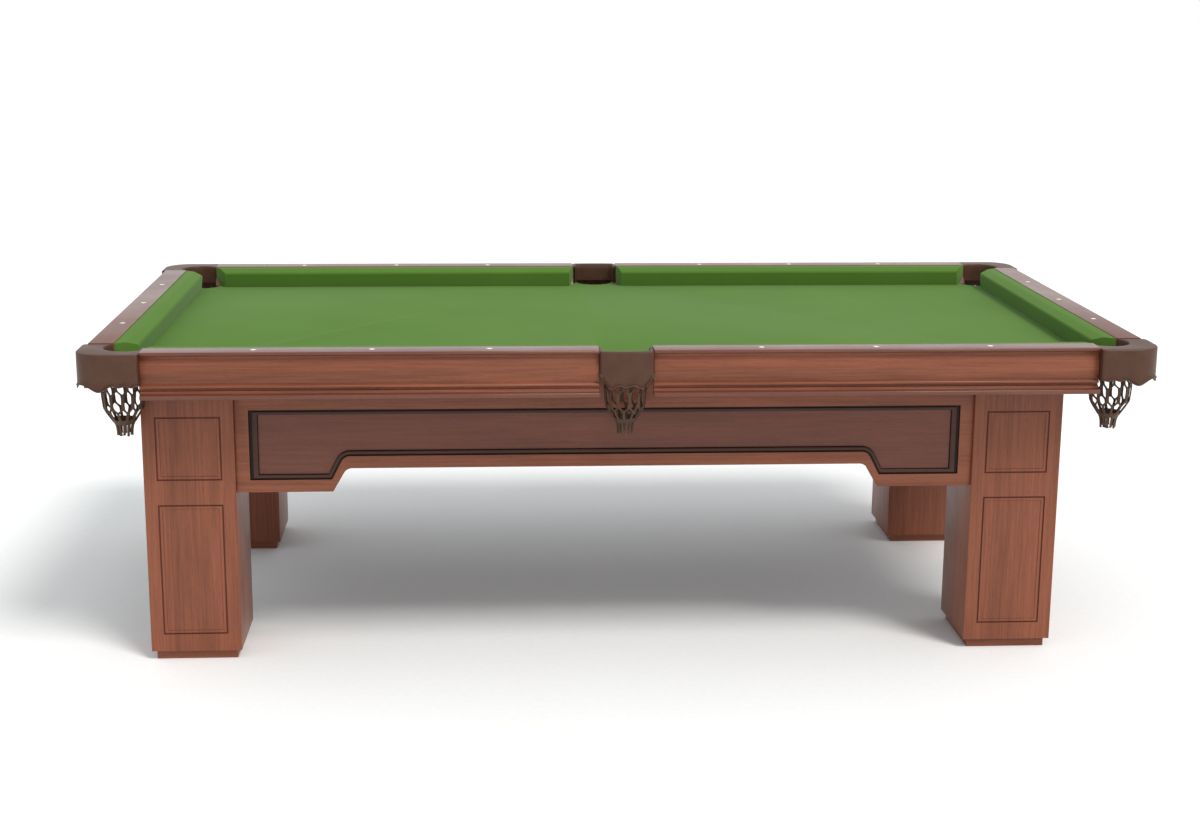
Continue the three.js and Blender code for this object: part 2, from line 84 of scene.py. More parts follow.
def only(*pieces: Piece) -> None:
    """Selects these pieces alone and makes the first one active.

    Args:
        *pieces: The pieces to select. With none, nothing is selected.
    """
    bpy.ops.object.select_all(action="DESELECT")
    for piece in pieces:
        piece.select_set(True)
    if pieces:
        bpy.context.view_layer.objects.active = pieces[0]


@contextmanager
def editing(piece: Piece, whole: bool = False) -> Iterator[None]:
    """Edit mode on one piece.

    Args:
        piece: The mesh to work on.
        whole: Whether all of it starts out selected, rather than none of it.

    Yields:
        Nothing: the piece stays in edit mode until the block ends.
    """
    only(piece)
    bpy.ops.object.mode_set(mode="EDIT")
    bpy.ops.mesh.select_mode(type="VERT")
    bpy.ops.mesh.select_all(action="SELECT" if whole else "DESELECT")
    yield
    bpy.ops.object.mode_set(mode="OBJECT")


def middle(element: bmesh.types.BMVert | bmesh.types.BMEdge | bmesh.types.BMFace) -> Vector:
    """The middle of a corner, an edge or a face.

    Args:
        element: A corner, an edge or a face.

    Returns:
        Its middle, as a point of its own.
    """
    if isinstance(element, bmesh.types.BMVert):
        return element.co.copy()
    corners = [corner.co for corner in element.verts]
    return sum(corners, Vector()) / len(corners)


def pick(piece: Piece, part: Part, wanted: Callable[..., bool]) -> None:
    """Selects, in edit mode, the corners, edges or faces that pass a test.

    Args:
        piece: The piece that is being edited.
        part: What the selection is made of.
        wanted: The test, given one bmesh element.
    """
    bpy.ops.mesh.select_all(action="DESELECT")
    bpy.ops.mesh.select_mode(type=part.value)
    mesh = bmesh.from_edit_mesh(piece.data)
    elements = {Part.CORNERS: mesh.verts, Part.EDGES: mesh.edges, Part.FACES: mesh.faces}[part]
    for element in elements:
        if wanted(element):
            element.select_set(True)
    mesh.select_flush_mode()
    bmesh.update_edit_mesh(piece.data)


def paint_selected(piece: Piece, index: int) -> None:
    """Gives the selected faces the material in one of the piece's slots.

    Args:
        piece: The piece that is being edited.
        index: The number of the slot.
    """
    mesh = bmesh.from_edit_mesh(piece.data)
    for face in mesh.faces:
        if face.select:
            face.material_index = index
    bmesh.update_edit_mesh(piece.data)


def settle(piece: Piece) -> None:
    """Moves a piece's place, turn and scale into its mesh, with its faces pointing out.

    Args:
        piece: The piece, standing where it belongs.
    """
    turned_over = piece.matrix_world.determinant() < 0
    only(piece)
    bpy.ops.object.transform_apply(location=True, rotation=True, scale=True)
    if turned_over:
        face_outwards(piece)


def face_outwards(piece: Piece) -> None:
    """Turns all faces of a closed piece outwards."""
    with editing(piece, whole=True):
        bpy.ops.mesh.normals_make_consistent(inside=False)


def named(name: str) -> Piece:
    """The piece that was just added, under its own name.

    Args:
        name: Its name, without the prefix that all new pieces share.

    Returns:
        The piece.
    """
    piece = bpy.context.object
    piece.name = f"fine_{name}"
    piece.data.name = piece.name
    return piece


def block(name: str, low: Vector, high: Vector) -> Piece:
    """A block between two corners.

    Args:
        name: The piece's name.
        low: Its lowest corner.
        high: Its highest corner.

    Returns:
        The block.
    """
    only()
    bpy.ops.mesh.primitive_cube_add(size=1, location=(low + high) / 2, scale=high - low)
    piece = named(name)
    settle(piece)
    return piece


def drum(name: str, centre: Vector, radius: float, height: float, sides: int = 48) -> Piece:
    """An upright drum about a centre.

    Args:
        name: The piece's name.
        centre: Its middle.
        radius: Its radius.
        height: Its height.
        sides: How many sides stand for its round.

    Returns:
        The drum.
    """
    only()
    bpy.ops.mesh.primitive_cylinder_add(vertices=sides, radius=radius, depth=height, location=centre)
    piece = named(name)
    settle(piece)
    return piece


def flat(name: str, points: Sequence[Vector]) -> Piece:
    """A flat face through points, begun as a filled ring with as many corners.

    Args:
        name: The piece's name.
        points: Its outline.

    Returns:
        The face, without thickness.
    """
    only()
    bpy.ops.mesh.primitive_circle_add(vertices=len(points), fill_type="NGON")
    piece = named(name)
    for corner, point in zip(piece.data.vertices, points):
        corner.co = point
    return piece


def bar(name: str, points: Sequence[Vector], along: Vector) -> Piece:
    """A flat outline extruded into a solid.

    Args:
        name: The piece's name.
        points: The outline, in one plane.
        along: How far and which way it is extruded.

    Returns:
        The closed solid.
    """
    piece = flat(name, points)
    with editing(piece, whole=True):
        bpy.ops.mesh.extrude_region_move(TRANSFORM_OT_translate={"value": along})
        bpy.ops.mesh.select_all(action="SELECT")
        bpy.ops.mesh.normals_make_consistent(inside=False)
    return piece


def stretched(name: str, rows: Sequence[Sequence[Vector]]) -> Piece:
    """A sheet stretched over rows of points, begun as a grid with as many corners.

    Args:
        name: The piece's name.
        rows: Rows of as many points each.

    Returns:
        The sheet, without thickness.
    """
    only()
    across, up = len(rows[0]) - 1, len(rows) - 1
    bpy.ops.mesh.primitive_grid_add(x_subdivisions=across, y_subdivisions=up)
    piece = named(name)
    for corner, point in zip(piece.data.vertices, (point for row in rows for point in row), strict=True):
        corner.co = point
    return piece


def modify(piece: Piece, kind: str, **settings: object) -> None:
    """Adds a modifier, sets it and applies it.

    Args:
        piece: The piece to change.
        kind: Blender's name for the modifier.
        **settings: The modifier's own settings.
    """
    only(piece)
    bpy.ops.object.modifier_add(type=kind)
    modifier = piece.modifiers[-1]
    for key, value in settings.items():
        setattr(modifier, key, value)
    bpy.ops.object.modifier_apply(modifier=modifier.name)


def soften(piece: Piece, width: float, segments: int = 2, angle: float = 40) -> None:
    """Rounds a piece's sharp edges."""
    limit = math.radians(angle)
    modify(piece, "BEVEL", width=width, segments=segments, limit_method="ANGLE", angle_limit=limit)


def cut_away(piece: Piece, cutter: Piece) -> None:
    """Takes the shape of a cutter out of a piece, and the cutter with it."""
    modify(piece, "BOOLEAN", object=cutter, operation="DIFFERENCE", solver="EXACT")
    bpy.data.objects.remove(cutter)


def joined(name: str, pieces: Sequence[Piece]) -> Piece:
    """Several pieces made one.

    Args:
        name: The name of the whole.
        pieces: The pieces, which are used up.

    Returns:
        The whole.
    """
    only(*pieces)
    bpy.ops.object.join()
    return named(name)


def copied(piece: Piece, name: str) -> Piece:
    """A copy with its own mesh.

    Args:
        piece: The pattern.
        name: The copy's name.

    Returns:
        The copy.
    """
    only(piece)
    bpy.ops.object.duplicate()
    return named(name)


# ------------------------------------------------------------------ lines and outlines


def rounded(corners: Sequence[tuple[float, float, float]], steps: int = 4, closed: bool = True) -> list[Plan]:
    """A line whose corners are rounded.

    Args:
        corners: Each corner's two places and its radius.
        steps: How many straight pieces stand for each round one.
        closed: Whether the last corner leads back to the first.

    Returns:
        The line's points.
    """
    line: list[Plan] = []
    count = len(corners)
    for i, (x, y, radius) in enumerate(corners):
        if radius == 0 or (not closed and i in (0, count - 1)):
            line.append((x, y))
            continue
        here = Vector((x, y))
        back = Vector(corners[i - 1][:2]) - here
        on = Vector(corners[(i + 1) % count][:2]) - here
        half = back.angle(on) / 2
        reach = min(radius / math.tan(half), 0.49 * back.length, 0.49 * on.length)
        centre = here + (back.normalized() + on.normalized()).normalized() * (reach / math.cos(half))
        start = here + back.normalized() * reach - centre
        end = here + on.normalized() * reach - centre
        turned = [start.slerp(end, k / steps) * start.length for k in range(steps + 1)]
        line += [tuple(centre + spoke) for spoke in turned]
    return line


def swell(start: Plan, end: Plan, rise: float, steps: int = 8) -> list[tuple[float, float, float]]:
    """The inner points of a line that bows out between two ends, as corners of no radius.

    Args:
        start: The lower end.
        end: The upper end.
        rise: How far the middle bows out along the first axis.
        steps: How many straight pieces stand for it.

    Returns:
        The points between the two ends.
    """
    points = []
    for k in range(1, steps):
        share = k / steps
        x = start[0] + (end[0] - start[0]) * share + rise * math.sin(math.pi * share)
        points.append((x, start[1] + (end[1] - start[1]) * share, 0.0))
    return points


def arc(centre: Plan, radius: float, start: float, end: float, steps: int = 16) -> list[Plan]:
    """Points on an arc between two angles in degrees."""
    angles = [math.radians(start + (end - start) * k / steps) for k in range(steps + 1)]
    return [(centre[0] + radius * math.cos(a), centre[1] + radius * math.sin(a)) for a in angles]


class Path:
    """A line in a plane that gives points along its length."""

    def __init__(self, points: Sequence[Plan]) -> None:
        """Keeps the points and the run up to each of them.

        Args:
            points: The line.
        """
        self.points = [Vector(point) for point in points]
        steps = [(b - a).length for a, b in pairwise(self.points)]
        self.runs = list(accumulate(steps, initial=0.0))

    @property
    def length(self) -> float:
        """The whole run."""
        return self.runs[-1]

    def at(self, run: float) -> Vector:
        """The point after a run along the line.

        Args:
            run: The length from the start, which is kept within the line.

        Returns:
            The point.
        """
        run = min(max(run, 0.0), self.length)
        i = next(k for k in range(1, len(self.runs)) if self.runs[k] >= run - 1e-9)
        share = (run - self.runs[i - 1]) / (self.runs[i] - self.runs[i - 1])
        return self.points[i - 1].lerp(self.points[i], share)

    def left(self, run: float) -> Vector:
        """The direction to the left of the line after a run.

        Args:
            run: The length from the start.

        Returns:
            The direction, one unit long.
        """
        reach = 0.002
        ahead = self.at(run + reach) - self.at(run - reach)
        return Vector((-ahead.y, ahead.x)).normalized()


class Side(Enum):
    """A side of the table, by the turn in degrees that takes +X to face out of it."""

    RIGHT = 0
    BACK = 90
    LEFT = 180
    FRONT = 270

    @property
    def turn(self) -> Matrix:
        """The turn about the upright axis."""
        return Matrix.Rotation(math.radians(self.value), 4, "Z")

    def box(self, node: str) -> tuple[Vector, Vector]:
        """A CAD node's lowest and highest corners, with this side turned to face +X."""
        one, other = (self.turn.inverted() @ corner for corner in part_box(node))
        return Vector(map(min, one, other)), Vector(map(max, one, other))

    def place(self, piece: Piece) -> None:
        """Turns a piece that was made facing +X to this side."""
        piece.matrix_world = self.turn
        settle(piece)


# ------------------------------------------------------------------ node trees


class Graph:
    """A node tree that is built one node at a time."""

    def __init__(self, tree: bpy.types.NodeTree) -> None:
        """Starts from an empty tree."""
        self.tree = tree
        self.tree.nodes.clear()

    def add(self, kind: str, inputs: Inputs | None = None, **settings: object) -> bpy.types.Node:
        """Adds a shader node.

        Args:
            kind: Blender's name for the node, without ShaderNode.
            inputs: Its inputs by name or number, as a value or as the output that feeds them.
            **settings: Its other settings.

        Returns:
            The node.
        """
        node = self.tree.nodes.new("ShaderNode" + kind)
        for key, value in settings.items():
            setattr(node, key, value)
        self.feed(node, inputs or {})
        return node

    def feed(self, node: bpy.types.Node, inputs: Inputs) -> None:
        """Links each input that is given a socket, and sets the others.

        Args:
            node: The node, such as a shader.
            inputs: Its inputs by name or number.
        """
        for key, value in inputs.items():
            if isinstance(value, Socket):
                self.tree.links.new(value, node.inputs[key])
            else:
                node.inputs[key].default_value = value

    def noise(self, vector: Socket, scale: float, detail: float = 3) -> Socket:
        """A noise pattern's value."""
        inputs = {"Vector": vector, "Scale": scale, "Detail": detail}
        return self.add("TexNoise", inputs).outputs["Fac"]

    def stretch(self, vector: Socket, scale: Sequence[float]) -> Socket:
        """A vector scaled along each axis."""
        return self.add("Mapping", {"Vector": vector, "Scale": scale}).outputs["Vector"]

    def reshape(self, value: Socket, old: Plan, new: Plan) -> Socket:
        """A value taken smoothly from one range to another."""
        inputs = {"Value": value, "From Min": old[0], "From Max": old[1], "To Min": new[0], "To Max": new[1]}
        return self.add("MapRange", inputs, interpolation_type="SMOOTHSTEP").outputs["Result"]

    def blend(self, factor: object, first: object, second: object, how: str = "MIX") -> Socket:
        """Two colours mixed."""
        inputs = {"Factor": factor, 6: first, 7: second}
        return self.add("Mix", inputs, data_type="RGBA", blend_type=how).outputs[2]

    def sum(self, first: object, second: object, how: str = "ADD") -> Socket:
        """Two values added, or combined in another way."""
        return self.add("Math", {0: first, 1: second}, operation=how).outputs[0]

    def bump(self, height: Socket, strength: float, distance: float) -> Socket:
        """A normal that follows a height."""
        inputs = {"Height": height, "Strength": strength, "Distance": distance}
        return self.add("Bump", inputs).outputs["Normal"]


class Effect:
    """An effect that several materials share, kept as one node group."""

    name = ""
    inputs: dict[str, str] = {"Vector": "NodeSocketVector"}
    outputs: dict[str, str] = {"Value": "NodeSocketFloat"}

    @classmethod
    def tree(cls) -> bpy.types.NodeTree:
        """Finds the node group, or builds it the first time.

        Returns:
            The group's tree.
        """
        found = bpy.data.node_groups.get(cls.name)
        if found:
            return found
        tree = bpy.data.node_groups.new(cls.name, "ShaderNodeTree")
        graph = Graph(tree)
        for label, kind in cls.inputs.items():
            tree.interface.new_socket(label, in_out="INPUT", socket_type=kind)
        for label, kind in cls.outputs.items():
            tree.interface.new_socket(label, in_out="OUTPUT", socket_type=kind)
        source = tree.nodes.new("NodeGroupInput")
        result = tree.nodes.new("NodeGroupOutput")
        for label, socket in cls.wire(graph, source.outputs).items():
            tree.links.new(socket, result.inputs[label])
        return tree

    @classmethod
    def wire(cls, graph: Graph, given: bpy.types.NodeOutputs) -> dict[str, Socket]:
        """Builds the effect.

        Args:
            graph: The group's tree.
            given: The group's inputs.

        Returns:
            The socket that feeds each output.
        """
        raise NotImplementedError

    @classmethod
    def use(cls, graph: Graph, **inputs: object) -> bpy.types.NodeOutputs:
        """Places the effect in a material and returns what it puts out."""
        return graph.add("Group", inputs, node_tree=cls.tree()).outputs


class Figure(Effect):
    """The figure of stained mahogany: broad bands, streaks and short open pores."""

    name = "wood_figure"
    inputs = {"Vector": "NodeSocketVector", "Light": "NodeSocketColor", "Dark": "NodeSocketColor"}
    outputs = {"Color": "NodeSocketColor", "Height": "NodeSocketFloat"}

    @classmethod
    def wire(cls, graph: Graph, given: bpy.types.NodeOutputs) -> dict[str, Socket]:
        """Bands about 60 mm wide, streaks about 5 mm and pores under a millimetre.

        Args:
            graph: The group's tree.
            given: The group's inputs.

        Returns:
            The socket that feeds each output.
        """
        vector = given["Vector"]
        bands = graph.noise(graph.stretch(vector, (0.9, 15, 15)), 1, 4)
        streaks = graph.noise(graph.stretch(vector, (6, 190, 190)), 1, 3)
        pores = graph.noise(graph.stretch(vector, (45, 1300, 1300)), 1, 1)
        band_tone = graph.reshape(bands, (0.3, 0.7), (0, 0.55))
        streak_tone = graph.reshape(streaks, (0.3, 0.7), (0, 0.45))
        tone = graph.sum(band_tone, streak_tone)
        wood = graph.blend(tone, given["Dark"], given["Light"])
        open_pores = graph.reshape(pores, (0.3, 0.42), (0.28, 0))
        stained = graph.blend(open_pores, wood, given["Dark"], "MULTIPLY")
        depth = graph.sum(streaks, graph.sum(open_pores, -1.5, "MULTIPLY"))
        return {"Color": stained, "Height": depth}


class Handling(Effect):
    """Soft patches where a surface has been touched and polished."""

    name = "handling"
    inputs = {"Vector": "NodeSocketVector", "Least": "NodeSocketFloat", "Most": "NodeSocketFloat"}

    @classmethod
    def wire(cls, graph: Graph, given: bpy.types.NodeOutputs) -> dict[str, Socket]:
        """Patches about 150 mm across with fine streaks in them.

        Args:
            graph: The group's tree.
            given: The group's inputs.

        Returns:
            The socket that feeds each output.
        """
        patches = graph.noise(given["Vector"], 7, 5)
        inputs = {
            "Value": patches,
            "From Min": 0.32,
            "From Max": 0.68,
            "To Min": given["Least"],
            "To Max": given["Most"],
        }
        return {"Value": graph.add("MapRange", inputs).outputs["Result"]}


class Nap(Effect):
    """The brushed fibres of a woollen cloth."""

    name = "cloth_nap"
    inputs = {"Vector": "NodeSocketVector", "Light": "NodeSocketColor", "Deep": "NodeSocketColor"}
    outputs = {"Color": "NodeSocketColor", "Height": "NodeSocketFloat"}

    @classmethod
    def wire(cls, graph: Graph, given: bpy.types.NodeOutputs) -> dict[str, Socket]:
        """Fibres a third of a millimetre wide, in clumps, over a faint broad shading.

        Args:
            graph: The group's tree.
            given: The group's inputs.

        Returns:
            The socket that feeds each output.
        """
        vector = given["Vector"]
        fibres = graph.noise(graph.stretch(vector, (900, 3000, 3000)), 1, 2)
        clumps = graph.noise(vector, 260, 3)
        broad = graph.noise(vector, 5, 2)
        fine = graph.sum(graph.sum(fibres, 0.5, "MULTIPLY"), graph.sum(clumps, 0.5, "MULTIPLY"))
        mixed = graph.sum(graph.sum(fine, 0.7, "MULTIPLY"), graph.sum(broad, 0.3, "MULTIPLY"))
        tone = graph.reshape(mixed, (0.32, 0.68), (0, 1))
        return {"Color": graph.blend(tone, given["Deep"], given["Light"]), "Height": fine}


class Hide(Effect):
    """The pebbled grain of leather, with creases and rubbed tops."""

    name = "hide_grain"
    inputs = {"Vector": "NodeSocketVector", "Base": "NodeSocketColor", "Rubbed": "NodeSocketColor"}
    outputs = {"Color": "NodeSocketColor", "Height": "NodeSocketFloat"}

    @classmethod
    def wire(cls, graph: Graph, given: bpy.types.NodeOutputs) -> dict[str, Socket]:
        """Pebbles about 1.5 mm across, broken up by finer wrinkles.

        Args:
            graph: The group's tree.
            given: The group's inputs.

        Returns:
            The socket that feeds each output.
        """
        vector = given["Vector"]
        warp = graph.add("TexNoise", {"Vector": vector, "Scale": 160, "Detail": 2}).outputs["Color"]
        moved = graph.add("VectorMath", {0: warp, 1: (0.002,) * 3}, operation="MULTIPLY").outputs[0]
        bent = graph.add("VectorMath", {0: vector, 1: moved}, operation="ADD").outputs[0]
        cells = graph.add("TexVoronoi", {"Vector": bent, "Scale": 650}, feature="SMOOTH_F1")
        wrinkles = graph.noise(vector, 900, 3)
        pebbles = graph.sum(1.0, cells.outputs["Distance"], "SUBTRACT")
        height = graph.sum(pebbles, graph.sum(wrinkles, 0.4, "MULTIPLY"))
        shade = graph.reshape(graph.noise(vector, 30, 4), (0.3, 0.72), (0, 0.7))
        rubbed = graph.sum(shade, graph.reshape(pebbles, (0.5, 0.8), (0, 0.3)))
        return {"Color": graph.blend(rubbed, given["Base"], given["Rubbed"]), "Height": height}


# ------------------------------------------------------------------ finishes


class Grain(Enum):
    """The axis that a wood's grain follows, as an order of the figure's axes."""

    LENGTHWAYS = "x"
    CROSSWAYS = "y"
    UPRIGHT = "z"

    @classmethod
    def along(cls, side: Side) -> "Grain":
        """The grain of a board that runs along a side."""
        return cls.LENGTHWAYS if side in (Side.FRONT, Side.BACK) else cls.CROSSWAYS

    def turned(self, graph: Graph) -> Socket:
        """Object coordinates with the grain's axis first.

        Args:
            graph: The material's tree.

        Returns:
            The socket that gives them.
        """
        place = graph.add("TexCoord").outputs["Object"]
        axes = graph.add("SeparateXYZ", {0: place}).outputs
        order = {"x": "XYZ", "y": "YXZ", "z": "ZXY"}[self.value]
        inputs = {i: axes[axis] for i, axis in enumerate(order)}
        return graph.add("CombineXYZ", inputs).outputs[0]


@dataclass(frozen=True)
class Finish:
    """A material and the slot that it belongs to."""

    name: str
    slot: str

    @cache
    def material(self) -> bpy.types.Material:
        """The Blender material, built when it is first asked for.

        Returns:
            The material.
        """
        made = bpy.data.materials.new(self.name)
        made.use_nodes = True
        graph = Graph(made.node_tree)
        shader = graph.add("BsdfPrincipled")
        graph.add("OutputMaterial", {"Surface": shader.outputs["BSDF"]})
        self.wire(graph, shader)
        return made

    def wire(self, graph: Graph, shader: bpy.types.Node) -> None:
        """Feeds the shader.

        Args:
            graph: The material's tree.
            shader: Its Principled BSDF.
        """
        raise NotImplementedError



@dataclass(frozen=True)
class Mahogany(Finish):
    """Stained mahogany under satin lacquer."""

    light: Colour
    dark: Colour
    grain: Grain
    dull: float = 0.42
    coat: float = 0.25

    def wire(self, graph: Graph, shader: bpy.types.Node) -> None:
        """Figure under a coat, with handled patches in its roughness.

        Args:
            graph: The material's tree.
            shader: Its Principled BSDF.
        """
        along = self.grain.turned(graph)
        figure = Figure.use(graph, Vector=along, Light=self.light, Dark=self.dark)
        worn = Handling.use(graph, Vector=along, Least=self.dull - 0.05, Most=self.dull + 0.08)
        inputs = {
            "Base Color": figure["Color"],
            "Roughness": worn["Value"],
            "Specular IOR Level": 0.2,
            "Normal": graph.bump(figure["Height"], 0.12, 0.0004),
            "Coat Weight": self.coat,
            "Coat Roughness": 0.2,
        }
        graph.feed(shader, inputs)


@dataclass(frozen=True)
class Cloth(Finish):
    """Napped woollen cloth."""

    light: Colour
    deep: Colour

    def wire(self, graph: Graph, shader: bpy.types.Node) -> None:
        """Fibres with a soft sheen and no gloss.

        Args:
            graph: The material's tree.
            shader: Its Principled BSDF.
        """
        place = graph.add("TexCoord").outputs["Object"]
        nap = Nap.use(graph, Vector=place, Light=self.light, Deep=self.deep)
        inputs = {
            "Base Color": nap["Color"],
            "Roughness": 0.95,
            "Specular IOR Level": 0.12,
            "Normal": graph.bump(nap["Height"], 0.25, 0.0003),
            "Sheen Weight": 0.12,
            "Sheen Roughness": 0.5,
            "Sheen Tint": (0.75, 0.95, 0.6, 1),
        }
        graph.feed(shader, inputs)


@dataclass(frozen=True)
class Leather(Finish):
    """Dyed leather."""

    base: Colour
    rubbed: Colour
    dull: float = 0.48
    coat: float = 0.1

    def wire(self, graph: Graph, shader: bpy.types.Node) -> None:
        """Pebbled grain, duller where it is creased.

        Args:
            graph: The material's tree.
            shader: Its Principled BSDF.
        """
        place = graph.add("TexCoord").outputs["Object"]
        hide = Hide.use(graph, Vector=place, Base=self.base, Rubbed=self.rubbed)
        worn = Handling.use(graph, Vector=place, Least=self.dull - 0.08, Most=self.dull + 0.1)
        inputs = {
            "Base Color": hide["Color"],
            "Roughness": worn["Value"],
            "Specular IOR Level": 0.25,
            "Normal": graph.bump(hide["Height"], 0.12, 0.0004),
            "Coat Weight": self.coat,
            "Coat Roughness": 0.22,
        }
        graph.feed(shader, inputs)


@dataclass(frozen=True)
class Plain(Finish):
    """A surface of one colour with faint patches, such as stone, metal or plastic."""

    base: Colour
    patch: Colour
    dull: float
    metal: float = 0.0
    size: float = 60

    def wire(self, graph: Graph, shader: bpy.types.Node) -> None:
        """Two near tones in patches, over a slightly uneven face.

        Args:
            graph: The material's tree.
            shader: Its Principled BSDF.
        """
        place = graph.add("TexCoord").outputs["Object"]
        patches = graph.noise(place, self.size, 5)
        tone = graph.blend(graph.reshape(patches, (0.35, 0.65), (0, 1)), self.base, self.patch)
        worn = Handling.use(graph, Vector=place, Least=self.dull - 0.06, Most=self.dull + 0.06)
        inputs = {
            "Base Color": tone,
            "Roughness": worn["Value"],
            "Metallic": self.metal,
            "Normal": graph.bump(patches, 0.08, 0.0003),
        }
        graph.feed(shader, inputs)


def colour(text: str) -> Colour:
    """A linear colour from its web form.

    Args:
        text: Six hexadecimal digits.

    Returns:
        Red, green, blue and full alpha.
    """
    channels = [int(text[i : i + 2], 16) / 255 for i in (0, 2, 4)]
    linear = [c / 12.92 if c <= 0.04045 else ((c + 0.055) / 1.055) ** 2.4 for c in channels]
    return (*linear, 1.0)


class StainAndShade(Enum):
    """How a part of the mahogany is stained and polished: its light and dark tones and its coat. Apart from
    BODY, the tones are darker copies with painted shade in them.
    """

    BODY = ("8e523a", "6c3c29", 0.2)
    # Painted shade: a darker copy of BODY for the rail and the blind's band, standing for the shade on their
    # upright faces; the heavier coat is real polish.
    EDGE = ("6f3e2e", "583023", 0.5)
    # Painted shade: a darker copy of BODY for the apron's sunk panel, which lies in the shade under the rail.
    PANEL = ("734436", "5f372c", 0.2)
    # Partly a real dark stain on the panel's moulding, partly painted shade in its sunk channel.
    MOULDING_STAIN_AND_SHADE = ("4a2d23", "39221a", 0.1)
    # Painted shadow: near black, for the moulding's outer groove and its step down to the field.
    GROOVE_SHADOW = ("24100a", "1a0b07", 0.0)
    # Painted shade: a darker copy of BODY for the grooves that frame the legs' panels.
    LINE = ("6b3423", "582a1c", 0.1)

    def finish(self, grain: Grain) -> Mahogany:
        """The wood in these tones, with its grain along one axis.

        Args:
            grain: The axis that the grain follows.

        Returns:
            The finish.
        """
        *tones, coat = self.value
        light, dark = map(colour, tones)
        name = f"mahogany_{self.name.lower()}_{grain.value}"
        return Mahogany(name, "mahogany", light, dark, grain, coat=coat)


GREEN = (colour("52752d"), colour("4b6e28"))
BED_CLOTH = Cloth("worsted_bed", "cloth", *GREEN)
CUSHION_CLOTH = Cloth("worsted_cushion", "cushion_cloth", *GREEN)
POCKET_LEATHER = Leather("hide_pocket", "leather", colour("482c1f"), colour("513425"))
NET_LEATHER = Leather("hide_net", "netting", colour("463022"), colour("533c2c"), 0.5, 0.05)
PINE = Mahogany("pine_beam", "frame_timber", colour("b8926a"), colour("8f6a48"), Grain.CROSSWAYS, 0.6, 0.0)
SLATE = Plain("slate_stone", "slate", colour("4b4f53"), colour("5d6265"), 0.6)
STEEL = Plain("steel_bright", "steel", colour("8d9094"), colour("a2a5a8"), 0.4, 1.0, 200)
SIGHT = Plain("sight_inlay", "sight", colour("f3f1ea"), colour("e6e1d4"), 0.22, 0.0, 120)


def deliver(
    piece: Piece,
    finishes: Sequence[Finish],
    body: str = "table",
    stands_for: Sequence[str] = (),
) -> None:
    """Dresses a finished piece and lets it ride with its CAD body.

    Args:
        piece: The finished mesh.
        finishes: The finishes of its material slots, the main one first.
        body: The CAD body that it moves with.
        stands_for: The CAD nodes that it is shown in place of.
    """
    slots = [face.material_index for face in piece.data.polygons]
    piece.data.materials.clear()
    for finish in finishes:
        piece.data.materials.append(finish.material())
    piece.data.polygons.foreach_set("material_index", slots)
    only(piece)
    bpy.ops.object.shade_smooth_by_angle(angle=CREASE)
    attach(piece, body)
    if stands_for:
        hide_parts(*stands_for)
    LOG.info("%s: %d faces, rides on %s", piece.name, len(piece.data.polygons), body)


def dress(node: str, finish: Finish) -> None:
    """Gives a CAD node that is shown as it is its finish.

    Args:
        node: The node's name.
        finish: Its finish.
    """
    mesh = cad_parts[node].data
    mesh.materials.clear()
    mesh.materials.append(finish.material())
    LOG.info("%s: kept from the CAD, in %s", node, finish.name)


# ------------------------------------------------------------------ rails


